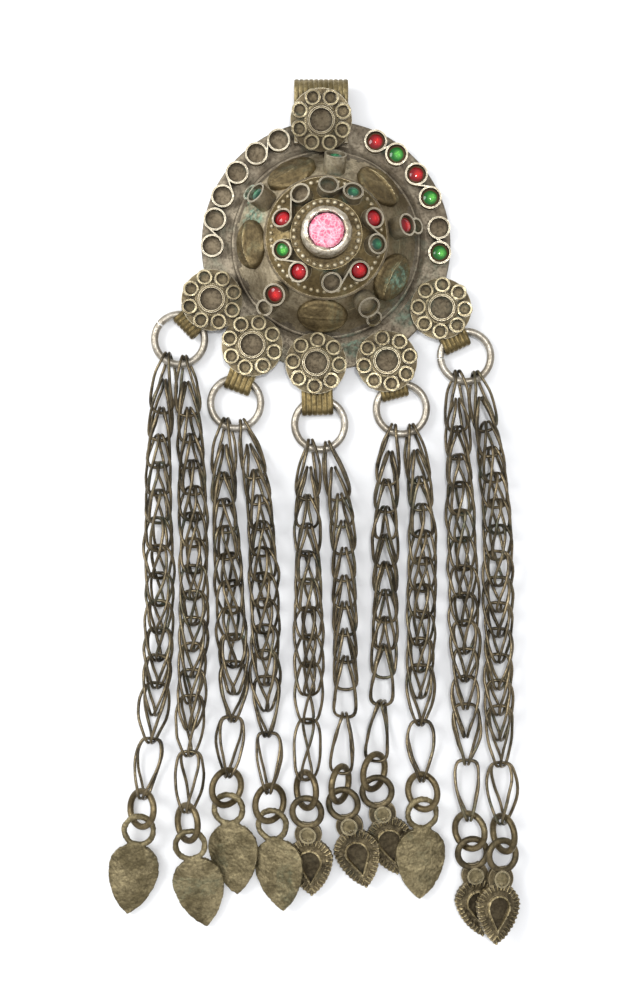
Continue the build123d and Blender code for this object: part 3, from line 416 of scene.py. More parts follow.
def finish_at(point, facing):
    """The finish of the shell at a point on it, in millimetres, by what is soldered there."""
    x, y, z = point
    radius, azimuth = math.hypot(x, y), math.degrees(math.atan2(y, x))
    out = math.hypot(radius, z - DOME_CENTRE) - DOME_BALL
    middle = min(ROSETTES, key=lambda place: math.dist((x, y), place))
    if math.dist((x, y), middle) < ROSETTE_RADIUS and z > ROSETTE_BASE:
        floor = z - ROSETTE_BASE < FLOOR_RISE and math.dist((x, y), middle) < FLOOR_RADIUS
        return rosette_floor if floor else rosette_brass
    top_base = TOP_BASE + (y - TOP_ROSETTE[1]) * TOP_SLOPE
    if math.dist((x, y), TOP_ROSETTE) < ROSETTE_RADIUS and z > top_base:
        floor = z - top_base < FLOOR_RISE and math.dist((x, y), TOP_ROSETTE) < FLOOR_RADIUS
        return rosette_floor if floor else rosette_brass
    if abs(x - TOP_ROSETTE[0]) < BAIL_HALF and y > 25 and z > PLATE_TOP + 0.02 or y > PLATE_RADIUS + 0.05:
        return bail_brass
    if radius > PLATE_RADIUS + 0.05 or (y < -10 and radius > 22.5 and z > 2.2 and out < 4
                                        and math.dist((x, y), middle) < 9.5):
        return loop_brass
    if radius > 24.4 and z > PLATE_TOP + 0.02:
        flat = facing.z > 0.9 and z < PLATE_TOP + CUP_FLOOR + 0.1
        return cup_floor if flat else strip_silver
    if radius < 5.4 and z > 15.5:
        return bezel_silver
    if radius < 8.46:
        return bead_silver if radius > 6.9 and z > STEP_TOP + 0.02 else step_brown
    if radius < 14.95 and out > 0.3:
        bead = abs(radius - 13.0) < 0.46 and out < 1.27
        if out < COLLAR_THICKNESS + 0.06 or bead:
            return bead_silver if bead and out > COLLAR_THICKNESS + 0.06 else collar_brass
        return cup_floor if out < 1.7 and facing.z > 0.7 else strip_silver
    if radius < 24.4 and out > 0.03 and z > PLATE_TOP + 0.05:
        if radius > 21.6 and z < 2.25:
            return plate_grey
        leaf = off_azimuth(azimuth, LEAF_AZIMUTHS) < off_azimuth(azimuth, STRIP_AZIMUTHS) + 2
        return leaf_brass if leaf else strip_silver
    return dome_olive if radius < 21.8 and z > PLATE_TOP + 0.02 else plate_grey


for face in shell.data.polygons:
    face.material_index = FINISHES.index(finish_at(face.center * 1000, face.normal))

# Foot of the dome: the beaten brass turns out of the dome's flank into the plate in a soft flare,
# with faint ridges left by the hammer. It is sweated to the dome and to the plate.
FOOT_INNER, FOOT_OUTER, FOOT_STEPS, FOOT_RINGS = 17.5, 24.3, 160, 22


def dome_top(radius):
    return DOME_CENTRE + math.sqrt(max(0.0, DOME_BALL ** 2 - radius ** 2))


bpy.ops.object.select_all(action="DESELECT")
bpy.ops.mesh.primitive_torus_add(major_segments=FOOT_STEPS, minor_segments=FOOT_RINGS, major_radius=0.021,
                                 minor_radius=0.002)
foot = bpy.context.object
foot.name = "dome_foot"
for index, vertex in enumerate(foot.data.vertices):
    step, ring = divmod(index, FOOT_RINGS)
    top = ring < FOOT_RINGS - 6
    u = ring / (FOOT_RINGS - 7) if top else (FOOT_RINGS - ring - 0.5) / 6
    radius = FOOT_INNER + (FOOT_OUTER - FOOT_INNER) * u
    slope = -FOOT_INNER / math.sqrt(DOME_BALL ** 2 - FOOT_INNER ** 2)
    reach = FOOT_OUTER - FOOT_INNER
    z = ((2 * u ** 3 - 3 * u * u + 1) * dome_top(FOOT_INNER) + (u ** 3 - 2 * u * u + u) * slope * reach
         + (3 * u * u - 2 * u ** 3) * (PLATE_TOP + 0.03) - (u ** 3 - u * u) * 0.15 * reach)
    angle = 2 * math.pi * step / FOOT_STEPS
    if top:
        swell = math.sin(math.pi * min(1.0, u)) ** 0.5
        z += swell * (0.22 * noise3.noise(Vector((math.cos(angle) * 3, math.sin(angle) * 3, radius * 0.5)))
                      + 0.05 * math.sin(radius * 2.6) * max(0.0, u - 0.45) * 2)
    else:
        z = max(dome_top(radius) - 0.5, PLATE_TOP - 0.3) if radius < 21.5 else PLATE_TOP - 0.3
        z = min(z, dome_top(FOOT_INNER) - 0.3)
    vertex.co = (radius * math.cos(angle) * 0.001, radius * math.sin(angle) * 0.001, z * 0.001)
tidy_mesh(60)
foot.data.materials.append(dome_olive)
foot.data.materials.append(foot_grey)
for face in foot.data.polygons:
    middle = face.center * 1000
    ragged = 21.6 + 1.6 * noise3.noise(middle * 0.35)
    face.material_index = 1 if math.hypot(middle.x, middle.y) > ragged else 0
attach(foot, "root")

# Leaf bosses: five pointed leaves pressed in thin brass and soldered to the dome's flank, with
# a raised border, a midrib and slanting veins, each struck a little differently.
LEAF_RADIUS, LEAF_SEAT, LEAF_SLOPE = 18.25, 0.85, 0.74
LEAF_SWELL, LEAF_BORDER, LEAF_VEIN = 1.15, 0.18, 0.035
LEAF_STRIKES = [(6.2, 4.7, 0.22, 0.8, 0.4), (6.0, 5.0, 0.52, -1.1, -0.5), (6.0, 4.9, 0.50, 1.9, 0.3),
                (6.1, 4.7, 0.16, 0.2, 0.0), (5.9, 4.6, 0.34, -1.3, 0.5)]


def ridge(distance, width):
    return max(0.0, 1 - (distance / width) ** 2)


for number, azimuth in enumerate(LEAF_AZIMUTHS, 1):
    length, width, rib_rise, bend, tip_turn = LEAF_STRIKES[number - 1]
    side = -1 if bend < 0 else 1
    bpy.ops.object.select_all(action="DESELECT")
    bpy.ops.mesh.primitive_grid_add(x_subdivisions=60, y_subdivisions=40, size=2.0)
    leaf = bpy.context.object
    leaf.name = f"pressed_leaf_{number}"
    turn = math.radians(azimuth)
    seat = (Matrix.Translation((LEAF_RADIUS * math.cos(turn), LEAF_RADIUS * math.sin(turn),
                                DOME_CENTRE + math.sqrt(DOME_BALL ** 2 - LEAF_RADIUS ** 2) + LEAF_SEAT))
            @ Matrix.Rotation(turn, 4, "Z") @ Matrix.Rotation(LEAF_SLOPE, 4, "Y")
            @ Matrix.Rotation(math.pi / 2, 4, "Z"))
    ball = seat.inverted() @ Vector((0, 0, DOME_CENTRE))
    for vertex in leaf.data.vertices:
        s, t = vertex.co.x, vertex.co.y
        skirt = max(0.0, (max(abs(s), abs(t)) - 0.9) / 0.1)
        s, t = max(-1.0, min(1.0, s / 0.9)), max(-1.0, min(1.0, t / 0.9))
        x, half = length * s, width * max(0.0, 1 - s * s) ** 0.6 + 0.05
        y = half * t
        rib = bend * math.cos(math.pi * s / 2) + tip_turn * s
        z = LEAF_SWELL * (1 - t * t) ** 0.75 * (1 - s * s) ** 0.5
        z += LEAF_BORDER * ridge(max(abs(t), abs(s)) - 0.85, 0.10)
        z += rib_rise * ridge(y - rib, 0.34) * (1 - s ** 4)
        if abs(t) < 0.74 and abs(y - rib) > 0.35:
            z += LEAF_VEIN * ridge((x - side * 0.8 * abs(y - rib)) % 1.5 - 0.75, 0.4)
        z += 0.30 * noise3.noise(Vector((x * 0.42, y * 0.42, number * 7.0)))
        dome = ball.z + math.sqrt(max(0.0, DOME_BALL ** 2 - (x - ball.x) ** 2 - (y - ball.y) ** 2)) - 0.4
        vertex.co = seat @ Vector((x, y, z + (dome - z) * skirt)) * 0.001
    tidy_mesh(50, merge=2e-6, close=True)
    leaf.data.materials.append(leaf_brass)
    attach(leaf, "root")

# Centre bezel: a thick silver collar round the pink stone, hammered over its edge in nine flats,
# so that its lip runs in short straight stretches. The shell's own lip is sunk under it.
BEZEL_PROFILE = [(5.98, 17.6), (5.96, 18.9), (5.78, 19.7), (5.42, 20.2), (5.0, 20.44), (4.62, 20.46)]
LIP_RISE, LIP_BORE, BEZEL_STEPS = 20.12, 4.42, 108
for vertex in shell.data.vertices:
    x, y, z = vertex.co * 1000
    if math.hypot(x, y) < 5.45 and z > 20.0:
        vertex.co.z -= 0.0003
tapped = random.Random(3)
corners = sorted(360 / 9 * (step + tapped.uniform(-0.22, 0.22)) for step in range(9))
reach = [4.56 + tapped.uniform(-0.20, 0.14) for _ in corners]


def lip_radius(angle):
    """The lip's inner radius: straight between one corner and the next."""
    for place in range(len(corners)):
        start, end = corners[place - 1], corners[place]
        wide = (end - start) % 360
        here = (angle - start) % 360
        if here <= wide:
            a, b = reach[place - 1], reach[place]
            return a * b * math.sin(math.radians(wide)) / (
                a * math.sin(math.radians(here)) + b * math.sin(math.radians(wide - here)))


bpy.ops.object.select_all(action="DESELECT")
bpy.ops.mesh.primitive_torus_add(major_segments=BEZEL_STEPS, minor_segments=len(BEZEL_PROFILE) + 4,
                                 major_radius=0.0048, minor_radius=0.0006)
bezel = bpy.context.object
bezel.name = "hammered_bezel"
for index, vertex in enumerate(bezel.data.vertices):
    step, place = divmod(index, len(BEZEL_PROFILE) + 4)
    angle = 360 * step / BEZEL_STEPS
    lip = lip_radius(angle)
    inner = [(lip + 0.16, LIP_RISE + 0.24), (lip, LIP_RISE), (lip + 0.06, LIP_RISE - 0.3), (LIP_BORE, 18.2)]
    radius, z = (BEZEL_PROFILE + inner)[place]
    radial = math.radians(angle)
    knock = noise3.noise(Vector((math.cos(radial), math.sin(radial), z * 0.3)) * 3.1) * 0.2 - 0.06
    if place > 0 and place < len(BEZEL_PROFILE) + 3:
        radius += knock * (1.0 if place < 4 else 0.4)
        z -= abs(knock) * 0.9
    vertex.co = (radius * 0.001 * math.cos(radial), radius * 0.001 * math.sin(radial), z * 0.001)
tidy_mesh(40)
bezel.data.materials.append(bezel_silver)
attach(bezel, "root")

# Granules and beads: small balls of silver, melted round and soldered on in two rings, one
# round the bezel's step and one near the collar's edge, where no cup stands on them.
COLLAR_CUPS = [(88.6, 10.8), (57.0, 11.1), (19.9, 11.1), (-11.6, 11.3), (-46.5, 10.8), (-85.2, 10.6),
               (-125.4, 10.3), (-161.5, 10.3), (161.7, 10.3), (121.4, 10.6)]
cups = [(r * math.cos(math.radians(a)), r * math.sin(math.radians(a))) for a, r in COLLAR_CUPS]
CUP_WIDTH, melted = 5.5, random.Random(8)


def wander(point):
    """A smooth uneven step in all three directions, the same on every run."""
    return Vector([noise3.noise(point + Vector((shift, 0, 0))) for shift in (9.3, 31.7, 73.1)])


for name, radius, count, level, size in [("granules", 7.55, 29, 15.50, 0.60),
                                         ("collar_beads", 13.0, 51, 12.36, 0.54)]:
    balls = []
    for index in range(count):
        angle = 2 * math.pi * index / count
        x, y = radius * math.cos(angle), radius * math.sin(angle)
        if min(math.dist((x, y), cup) for cup in cups) < CUP_WIDTH / 2 + size * 0.6:
            continue
        bpy.ops.mesh.primitive_uv_sphere_add(segments=10, ring_count=6,
                                             location=(x * 0.001, y * 0.001, level * 0.001),
                                             radius=size * melted.uniform(0.92, 1.10) * 0.001)
        balls.append(bpy.context.object)
    beads = joined(balls, name)
    bpy.ops.object.transform_apply(location=True, rotation=True, scale=True)
    for vertex in beads.data.vertices:
        vertex.co += wander(vertex.co * 900) * 0.00005
    bpy.ops.object.shade_smooth()
    beads.data.materials.append(bead_silver)
    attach(beads, "root")

# Rosette wires: a milled ring soldered round each rosette's middle cup, and a round wire on
# the rim of each of its eight petals, bright where they are rubbed and painted brighter on each
# rosette's outer side, a painted highlight along with the wear.
ROSETTE_TOP, MILLED_RADIUS, MILLED_WIRE, MILLED_TEETH = 1.8, 3.68, 0.42, 52
PETALS, PETAL_REACH, PETAL_TOP, PETAL_BEND, PETAL_WIRE = 8, 5.6, 2.08, 1.62, 0.36
# painted highlight and shade with wear: brighter rubbed wires on each rosette's outer side, darker on its
# inner side
rosette_wire = old_metal("rosette_wire", linear(176, 164, 130), linear(112, 99, 70), linear(246, 238, 214),
                         linear(56, 46, 30), shine=0.36, green=0.0, edge_width=0.2, rubbed=0.6,
                         worn_and_lit=(23.0, 33.0))
ROSETTE_SEATS = [(x, y, ROSETTE_BASE, 0.0, phase) for (x, y), phase in
                 zip(ROSETTES, (17.6, 28.0, -4.0, 11.7, -2.5))] + [(*TOP_ROSETTE, 5.287, 0.2563, 21.0)]
for number, (x, y, z, lean, phase) in enumerate(ROSETTE_SEATS, 1):
    seat = Matrix.Translation((x, y, z)) @ Matrix.Rotation(lean, 4, "X")
    bpy.ops.object.select_all(action="DESELECT")
    bpy.ops.mesh.primitive_torus_add(major_segments=2 * MILLED_TEETH, minor_segments=8,
                                     major_radius=MILLED_RADIUS, minor_radius=MILLED_WIRE,
                                     location=(0, 0, ROSETTE_TOP))
    rings = [bpy.context.object]
    for index, vertex in enumerate(rings[0].data.vertices):
        tooth = 1.0 if (index // 8) % 2 else 0.55
        vertex.co.z *= 0.8 * tooth
    for petal in range(PETALS):
        angle = math.radians(phase + 360 * petal / PETALS)
        place = (PETAL_REACH * math.cos(angle), PETAL_REACH * math.sin(angle), PETAL_TOP)
        bpy.ops.mesh.primitive_torus_add(major_segments=24, minor_segments=6, major_radius=PETAL_BEND,
                                         minor_radius=PETAL_WIRE, location=place)
        rings.append(bpy.context.object)
    wires = joined(rings, f"rosette_wires_{number}")
    bpy.ops.object.transform_apply(location=True, rotation=True, scale=True)
    for vertex in wires.data.vertices:
        bent = vertex.co + wander(vertex.co * 0.7 + Vector((x, y, 0))) * 0.12
        vertex.co = seat @ bent * 0.001
    bpy.ops.object.shade_smooth_by_angle(angle=math.radians(50))
    wires.data.materials.append(rosette_wire)
    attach(wires, "root")

# Glass stones: small round ruby red and emerald green cabochons on foil, held in their strip
# cups by a ring of dark cement, their glow and glints painted into the colour, and one pink
# table stone with crazed foil in the centre, painted dark at its edge as shade under the lip.


def upright(piece):
    """The stone's own frame from its flat back: the axis out of it, its middle and radius."""
    sides = {}
    for face in piece.data.polygons:
        key = tuple(round(v, 2) for v in face.normal)
        sides[key] = sides.get(key, 0.0) + face.area
    nearest = Vector(max(sides, key=sides.get)).normalized()
    flat = [face for face in piece.data.polygons if face.normal.dot(nearest) > 0.9995]
    back = sum((face.normal * face.area for face in flat), Vector()).normalized()
    low = [v.co for v in piece.data.vertices]
    level = max(back.dot(p) for p in low)
    rim = [p for p in low if back.dot(p) > level - 5e-6]
    middle = sum(rim, Vector()) / len(rim)
    return -back, middle, max((p - middle).length for p in rim)


def map_stone(piece):
    """Lays a UV map over the stone, its middle at (0.5, 0.5) and its girdle at radius 0.5."""
    axis, middle, radius = upright(piece)
    across = axis.orthogonal().normalized()
    along = axis.cross(across)
    layer = piece.data.uv_layers.new(name="stone")
    for loop in piece.data.loops:
        offset = piece.data.vertices[loop.vertex_index].co - middle
        layer.data[loop.index].uv = [0.5 + 0.5 * offset.dot(way) / radius for way in (across, along)]


def foiled_glass(name, painted_glow_colour, body, rim, fill=0.78, painted_glow_size=0.34):
    material, tree, shader = bare_material(name)
    flat = new_node(tree, "ShaderNodeUVMap", uv_map="stone")
    where = millimetres(tree)
    away = new_node(tree, "ShaderNodeVectorMath", operation="DISTANCE", i1=(0.5, 0.5, 0.0))
    tree.links.new(flat.outputs[0], away.inputs[0])
    radius = maths(tree, "ADD", maths(tree, "MULTIPLY", away.outputs["Value"], 2.0),
                   maths(tree, "MULTIPLY", maths(tree, "SUBTRACT", noise(tree, where, 1.4), 0.5), 0.30))
    # painted glow: a bright patch off to one side of each stone's middle, as light coming back through the
    # glass off its foil, with painted glints in it
    side = new_node(tree, "ShaderNodeVectorMath", operation="DISTANCE", i1=(0.56, 0.42, 0.0))
    tree.links.new(flat.outputs[0], side.inputs[0])
    painted_glow = spread(tree, side.outputs["Value"], painted_glow_size, 0.02)
    painted_glints = new_node(tree, "ShaderNodeTexVoronoi", feature="F1")
    painted_glints.inputs["Scale"].default_value = 2.2
    tree.links.new(where, painted_glints.inputs["Vector"])
    painted_spark = spread(tree, painted_glints.outputs["Distance"], 0.45, 0.10)
    painted_sparkle = maths(tree, "ADD", maths(tree, "MULTIPLY", painted_spark, 0.6), 0.4)
    colour = blend(tree, maths(tree, "MULTIPLY", painted_glow, painted_sparkle), body, painted_glow_colour)
    colour = blend(tree, spread(tree, radius, fill - 0.10, fill + 0.06), colour, rim)
    tree.links.new(colour, shader.inputs["Base Color"])
    tree.links.new(spread(tree, radius, fill - 0.05, fill + 0.15, 0.10, 0.5), shader.inputs["Roughness"])
    shader.inputs["Specular IOR Level"].default_value = 0.42
    dent_normal(tree, shader, noise(tree, where, 1.1, 1.0), 0.12, 0.0004)
    return material


cement = linear(84, 66, 48)
# each stone's first colour is its painted glow, the second its body, the third its dark edge ring
ruby = foiled_glass("ruby_glass", linear(255, 48, 44), linear(112, 2, 10), cement)
emerald = foiled_glass("emerald_glass", linear(130, 240, 100), linear(10, 88, 28), cement)
dull_emerald = foiled_glass("dull_emerald_glass", linear(70, 150, 100), linear(16, 58, 42),
                            linear(92, 84, 64), 0.70)
full_ruby = foiled_glass("full_ruby_glass", linear(238, 40, 44), linear(122, 8, 18),
                         linear(70, 26, 22), 0.94, 0.40)
DULL = ("collar_stone_1", "collar_stone_3", "dome_stone_1", "dome_stone_4")
for node in sorted(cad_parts):
    if node.startswith(("rim_stone", "collar_stone", "dome_stone")):
        red = node.endswith("red")
        stone = merged_copy("glass_" + node, node)
        map_stone(stone)
        glass = full_ruby if node.startswith("collar") else ruby
        stone.data.materials.append(glass if red else dull_emerald if node.startswith(DULL) else emerald)

pink, tree, shader = bare_material("pink_foiled_glass")
where = millimetres(tree)
swirl = spread(tree, noise(tree, where, 3.4, 5.0, 0.60, 2.6), 0.40, 0.62)
crack = new_node(tree, "ShaderNodeTexVoronoi", feature="DISTANCE_TO_EDGE")
crack.inputs["Scale"].default_value = 0.9
tree.links.new(where, crack.inputs["Vector"])
colour = blend(tree, swirl, linear(204, 86, 118), linear(232, 160, 178))
cracked = spread(tree, crack.outputs["Distance"], 0.07, 0.0, 0.0, 0.7)
colour = blend(tree, cracked, colour, linear(250, 214, 220))
# painted shade: the stone darkens to a dark brown near its edge, where the bezel's lip shades it
rim = maths(tree, "ADD", from_axis(tree, where), maths(tree, "MULTIPLY", noise(tree, where, 1.4), 0.7))
colour = blend(tree, spread(tree, rim, 4.26, 4.48), colour, linear(58, 22, 34))
tree.links.new(colour, shader.inputs["Base Color"])
tree.links.new(spread(tree, swirl, 0.0, 1.0, 0.18, 0.35), shader.inputs["Roughness"])
shader.inputs["Coat Weight"].default_value = 0.35
shader.inputs["Coat Roughness"].default_value = 0.08
dent_normal(tree, shader, swirl, 0.3, 0.0005)
centre = merged_copy("pink_centre_stone", "centre_stone")
centre.data.materials.append(pink)

# Jump rings: five open rings of thick, pale nickel-silver wire, bent round and sprung shut.
nickel = old_metal("nickel_wire", linear(182, 176, 164), linear(144, 136, 122), linear(240, 234, 218),
                   linear(78, 68, 52), shine=0.34, green=0.04, dent=0.15)
for number in range(1, 6):
    ring = merged_copy(f"nickel_jump_ring_{number}", f"jump_ring_{number}")
    ring.data.materials.append(nickel)

# Chains: ten loop-in-loop chains, each link a soldered ring of dark bronze wire, pulled long,
# folded in two and threaded through the two links above it. By hand, so no two are bent alike.
chain_bronze = old_metal("chain_bronze", linear(122, 109, 84), linear(66, 59, 45), linear(190, 172, 134),
                         linear(30, 26, 19), shine=0.28, green=0.3, edge_width=0.15, rubbed=0.3, dent=0.2)
WIRE, LINK_LENGTH = 0.00074, 0.0145
QUARTER = [(0.9, 0.44, -0.0), (2.3, 0.5, 0.3), (3.05, 1.0, 2.4), (3.05, 1.9, 5.6), (2.1, 2.55, 9.6),
           (0.75, 2.75, 13.2), (0.42, 1.6, 14.6)]


def one_link():
    """The link's wire: round arches at its top, bowed sides, and two narrow eyes below."""
    ring = []
    for side, face, order in ((1, 1, 1), (1, -1, -1), (-1, -1, 1), (-1, 1, -1)):
        ring += [(side * u, face * v, w) for u, v, w in QUARTER[::order]]
    curve = bpy.data.curves.new("link_wire", "CURVE")
    curve.dimensions = "3D"
    wire = curve.splines.new("NURBS")
    wire.points.add(len(ring) - 1)
    for point, (u, v, w) in zip(wire.points, ring):
        point.co = (u * 0.001, v * 0.001, w * 0.001, 1.0)
    wire.use_cyclic_u = True
    wire.order_u = 3
    wire.resolution_u = 3
    curve.bevel_depth = WIRE / 2
    curve.bevel_resolution = 2
    holder = bpy.data.objects.new("link_wire", curve)
    scene.collection.objects.link(holder)
    bpy.context.view_layer.update()
    mesh = bpy.data.meshes.new_from_object(holder.evaluated_get(bpy.context.evaluated_depsgraph_get()))
    bpy.data.objects.remove(holder)
    return mesh


def loose_parts(piece):
    """The points of each loose part of a piece, in metres."""
    bpy.ops.object.select_all(action="DESELECT")
    bpy.context.view_layer.objects.active = piece
    piece.select_set(True)
    bpy.ops.object.mode_set(mode="EDIT")
    bpy.ops.mesh.select_all(action="SELECT")
    bpy.ops.mesh.separate(type="LOOSE")
    bpy.ops.object.mode_set(mode="OBJECT")
    parts = []
    for part in list(bpy.context.selected_objects):
        places = np.empty(3 * len(part.data.vertices))
        part.data.vertices.foreach_get("co", places)
        parts.append(places.reshape(-1, 3))
        bpy.data.objects.remove(part)
    return parts


def link_place(points):
    """A packed link's own frame: the middle of its arch, its axis to the eyes and its width."""
    middle = points.mean(axis=0)
    away = points - middle
    axis = np.linalg.eigh(away.T @ away)[1][:, 2]
    along = away @ axis
    off = np.linalg.norm(away - np.outer(along, axis), axis=1)
    if off[along > 0].mean() > off[along < 0].mean():
        axis, along = -axis, -along
    top = away[along < along.min() + 0.0009]
    top = top - np.outer(top @ axis, axis)
    top = top - top.mean(axis=0)
    width = np.linalg.eigh(top.T @ top)[1][:, 2]
    origin = middle + axis * (along.min() + WIRE / 2)
    return Vector(origin), Vector(axis), Vector(width)


link_mesh = one_link()
hand = random.Random(11)
for number in range(1, 11):
    copy = merged_copy("chain_measure", f"chain_{number}")
    wires = []
    for points in loose_parts(copy):
        origin, axis, width = link_place(points)
        turn = Matrix((width, axis.cross(width), axis)).transposed()
        mesh = link_mesh.copy()
        bow, lean, twist = hand.uniform(-0.35, 0.35), hand.uniform(0.9, 1.08), hand.uniform(-0.22, 0.22)
        for vertex in mesh.vertices:
            u, v, w = vertex.co
            share = min(1.0, max(0.0, w / LINK_LENGTH))
            belly = math.sin(math.pi * share)
            u, v = u * (1 + (lean - 1) * belly) + 0.001 * bow * belly, v * (1 + 0.12 * (lean - 1) * belly)
            angle = twist * belly
            u, v = u * math.cos(angle) - v * math.sin(angle), u * math.sin(angle) + v * math.cos(angle)
            place = origin + turn @ Vector((u, v, w))
            place += wander(place * 260) * 0.00022
            vertex.co = place
        low = min(vertex.co.z for vertex in mesh.vertices)
        if low < 0.00003:
            for vertex in mesh.vertices:
                vertex.co.z += 0.00003 - low
        wires.append(bpy.data.objects.new("link", mesh))
        scene.collection.objects.link(wires[-1])
    chain = joined(wires, f"loop_chain_{number}")
    bpy.ops.object.shade_smooth()
    chain.data.materials.clear()
    chain.data.materials.append(chain_bronze)
    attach(chain, "root")
    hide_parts(f"chain_{number}")

# Small rings and cast drops: soldered brass rings, and ten cast leaf drops hooked in them,
# five of them plain and pitted, five with a boss, a teardrop cell and a border of bars.
ring_brass = old_metal("ring_brass", linear(128, 114, 84), linear(88, 76, 52), linear(206, 190, 152),
                       linear(40, 33, 22), shine=0.40, green=0.1)
leaf_cast = old_metal("pitted_cast", linear(146, 134, 102), linear(100, 90, 64), linear(214, 202, 168),
                      linear(52, 45, 32), shine=0.52, green=0.3, dent=0.9)
dark_cast = old_metal("dark_cast", linear(112, 100, 74), linear(70, 62, 45), linear(204, 188, 152),
                      linear(32, 26, 18), shine=0.46, green=0.08, dent=0.5)
cell_wire = old_metal("cell_wire", linear(176, 160, 120), linear(118, 104, 72), linear(226, 212, 174),
                      linear(48, 40, 26), shine=0.40, green=0.0, edge_width=0.12)
cell_floor = old_metal("cell_floor", linear(92, 82, 62), linear(68, 59, 43), linear(120, 108, 82),
                       linear(44, 37, 27), shine=0.66, green=0.05)
DROP_TIP, DROP_EDGE, DROP_CROWN, DROP_HALF, BOSS_FROM_LOOP, BOSS_HALF = 21.225, 0.9, 0.4, 5.8, 5.575, 2.05
HEAD_TOP, SHOULDER, SHOULDER_BOW, CELL_HEAD, CELL_HALF, CELL_APEX = 6.6, 11.43, 4.18, 12.5, 2.9, 18.4
BAR_PITCH, BAR_REACH, BAR_RISE, CELL_RISE, BLADE_FROM = 1.16, 1.9, 0.42, 0.5, 7.6


def arc_through(a, b, c):
    """The middle and radius of the circle through three points."""
    (x1, y1), (x2, y2), (x3, y3) = a, b, c
    base = 2 * (x1 * (y2 - y3) + x2 * (y3 - y1) + x3 * (y1 - y2))
    p, q, r = x1 * x1 + y1 * y1, x2 * x2 + y2 * y2, x3 * x3 + y3 * y3
    middle = ((p * (y2 - y3) + q * (y3 - y1) + r * (y1 - y2)) / base,
              (p * (x3 - x2) + q * (x1 - x3) + r * (x2 - x1)) / base)
    return middle, math.dist(middle, a)


HEAD_ARC = arc_through((-DROP_HALF, SHOULDER), (0.0, HEAD_TOP), (DROP_HALF, SHOULDER))
SIDE_ARC = arc_through((DROP_HALF, SHOULDER), (SHOULDER_BOW, SHOULDER + (DROP_TIP - SHOULDER) * 0.55),
                       (0.0, DROP_TIP))


def half_width(v):
    """Half the blade's width at a distance from the loop's middle."""
    (x, y), bend = HEAD_ARC if v < SHOULDER else SIDE_ARC
    return max(0.0, x + math.sqrt(max(0.0, bend ** 2 - (v - y) ** 2)))


def nearest(point, line):
    """How far a point is from a line of points, and how far along the line that is."""
    away = np.hypot(line[:, 0] - point[0], line[:, 1] - point[1])
    place = int(away.argmin())
    return float(away[place]), place


edge_line = np.array([(half_width(v), v) for v in
                      HEAD_TOP + (DROP_TIP - HEAD_TOP) * (1 - np.cos(np.linspace(0, math.pi, 400))) / 2])
edge_run = np.concatenate([[0], np.cumsum(np.hypot(*np.diff(edge_line, axis=0).T))])
touch = math.asin(CELL_HALF / (CELL_APEX - CELL_HEAD))
TOUCH_X, TOUCH_V = CELL_HALF * math.cos(touch), CELL_HEAD + CELL_HALF * math.sin(touch)
cell_line = np.array([(CELL_HALF * math.cos(a), CELL_HEAD - CELL_HALF * math.sin(a))
                      for a in np.linspace(math.pi / 2, -touch, 90)]
                     + [(TOUCH_X * (1 - k), TOUCH_V + (CELL_APEX - TOUCH_V) * k)
                        for k in np.linspace(0, 1, 80)])


def relief(x, v):
    """The blade's height at a point, and its finish: 0 ground, 1 worn bar or wire, 2 cell floor."""
    x = abs(x)
    from_edge, place = nearest((x, v), edge_line)
    z = DROP_EDGE + DROP_CROWN * (1 - (x / DROP_HALF) ** 2)
    bar = max(0.0, math.cos(2 * math.pi * edge_run[place] / BAR_PITCH)) ** 0.6
    bar *= min(1.0, from_edge / 0.25 + 0.4) * min(1.0, max(0.0, (BAR_REACH - from_edge) / 0.35))
    inside = math.hypot(x, v - CELL_HEAD) < CELL_HALF if v < TOUCH_V else (
        v < CELL_APEX and x < TOUCH_X * (CELL_APEX - v) / (CELL_APEX - TOUCH_V))
    from_cell, _ = nearest((x, v), cell_line)
    if inside:
        wall = ridge(from_cell - 0.20, 0.24)
        if from_cell > 0.38:
            return DROP_EDGE - 0.02, 2
    else:
        wall = ridge(from_cell, 0.20)
        if from_cell < 0.3:
            bar = 0.0
    z += BAR_RISE * bar + CELL_RISE * wall
    return z, 1 if wall > 0.25 or bar > 0.45 else 0


bpy.ops.object.select_all(action="DESELECT")
bpy.ops.mesh.primitive_grid_add(x_subdivisions=84, y_subdivisions=104, size=2.0)
blade = bpy.context.object
zones = []
for vertex in blade.data.vertices:
    s, t = vertex.co.x, vertex.co.y
    skirt = max(abs(s), abs(t)) > 0.999
    s, t = max(-1.0, min(1.0, s / 0.97)), max(-1.0, min(1.0, t / 0.97))
    v = HEAD_TOP + (DROP_TIP - 0.04 - HEAD_TOP) * (1 - math.cos(math.pi * (t + 1) / 2)) / 2
    place = int(np.abs(edge_line[:, 1] - v).argmin())
    notch = 0.20 * (1 - max(0.0, math.cos(2 * math.pi * edge_run[place] / BAR_PITCH)) ** 0.5)
    x = s * max(0.02, half_width(v) - notch - 0.07)
    z, zone = relief(x, v)
    zones.append(zone)
    vertex.co = (x * 0.001, v * 0.001, (0.02 if skirt else z) * 0.001)
for face in blade.data.polygons:
    marks = [zones[index] for index in face.vertices]
    face.material_index = max(set(marks), key=marks.count)
tidy_mesh(50, merge=1e-6, close=True)
blade_mesh = blade.data.copy()
bpy.data.objects.remove(blade)


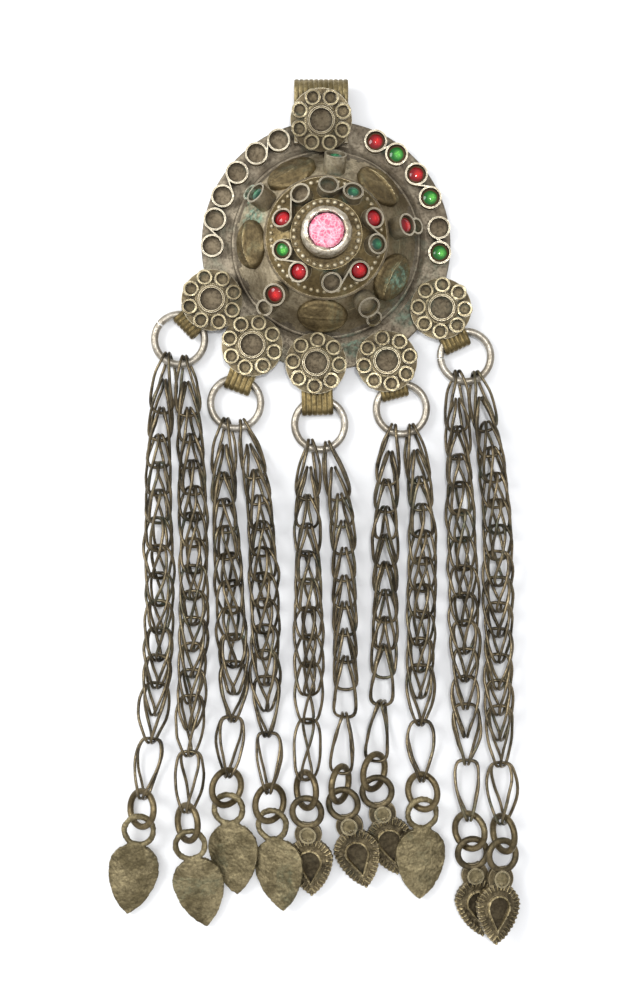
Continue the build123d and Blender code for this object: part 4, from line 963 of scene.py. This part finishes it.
def drop_seat(piece):
    """A packed drop's own frame: its loop's middle on the flat back, its axis to the tip, its face."""
    out, _, _ = upright(piece)
    total, first, second = 0.0, np.zeros(3), np.zeros((3, 3))
    for face in piece.data.polygons:
        if face.normal.dot(out) < -0.9995:
            corner = np.array([piece.data.vertices[index].co for index in face.vertices])
            total += face.area
            first += face.area * corner.mean(axis=0)
            second += face.area / 12 * (corner.T @ corner + np.outer(corner.sum(axis=0), corner.sum(axis=0)))
    middle = first / total
    spread_of = second / total - np.outer(middle, middle)
    axis = np.linalg.eigh(spread_of)[1][:, 2]
    places = np.empty(3 * len(piece.data.vertices))
    piece.data.vertices.foreach_get("co", places)
    along = (places.reshape(-1, 3) - middle) @ axis
    if along.max() > -along.min():
        axis, along = -axis, -along
    axis, middle = Vector(axis), Vector(middle)
    loop = middle + axis * (along.max() - DROP_TIP * 0.001)
    across = axis.cross(out)
    seat = Matrix((across, axis, out)).transposed().to_4x4()
    seat.translation = loop
    return seat


PLAIN_DROPS, CAST_SKIN, PIT_DEPTH, PIT_SIZE = (1, 2, 3, 4, 8), 0.00022, 0.34, 1.5


def roughen(piece, seed):
    """Casting pits and wavy edges: points sink by noise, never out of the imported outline."""
    outward = [vertex.normal.copy() for vertex in piece.data.vertices]
    for vertex, out in zip(piece.data.vertices, outward):
        at = vertex.co * 1000
        pit = 0.6 * noise3.noise(at / PIT_SIZE + Vector((seed, 0, 0)))
        pit += 0.4 * noise3.noise(at / (PIT_SIZE * 0.35))
        vertex.co -= out * max(0.0, pit + 0.25) * PIT_DEPTH * 0.001


for number in range(1, 11):
    ring = merged_copy(f"brass_ring_{number}", f"small_ring_{number}")
    ring.data.materials.append(ring_brass)
    drop = merged_copy(f"cast_drop_{number}", f"drop_{number}")
    plain = number in PLAIN_DROPS
    if plain:
        fine = drop.modifiers.new("fine_skin", "REMESH")
        fine.mode = "VOXEL"
        fine.voxel_size = CAST_SKIN
        bpy.ops.object.modifier_apply(modifier="fine_skin")
        roughen(drop, number)
        bpy.ops.object.shade_smooth()
        drop.data.materials.clear()
        drop.data.materials.append(leaf_cast)
        continue
    seat = drop_seat(drop)
    bpy.ops.object.mode_set(mode="EDIT")
    bpy.ops.mesh.select_all(action="SELECT")
    bpy.ops.mesh.bisect(plane_co=seat @ Vector((0, BLADE_FROM * 0.001, 0)), plane_no=seat.col[1].to_3d(),
                        use_fill=True, clear_outer=True)
    bpy.ops.object.mode_set(mode="OBJECT")
    plate = bpy.data.objects.new("cast_blade", blade_mesh.copy())
    scene.collection.objects.link(plate)
    for material in (dark_cast, cell_wire, cell_floor, leaf_cast):
        drop.data.materials.append(material)
        plate.data.materials.append(material)
    home = seat.inverted()
    for face in drop.data.polygons:
        at = home @ face.center * 1000
        boss = math.dist((at.x, at.y), (0, BOSS_FROM_LOOP)) < BOSS_HALF and at.z > 1.25
        face.material_index = 3 if boss else 0
    for vertex in plate.data.vertices:
        if vertex.co.z > 0.0001:
            vertex.co.z += 0.00022 * noise3.noise(vertex.co * 900 + Vector((number, 0, 0)))
        vertex.co = seat @ vertex.co
    joined([drop, plate], drop.name)
    bpy.ops.object.shade_smooth_by_angle(angle=math.radians(50))
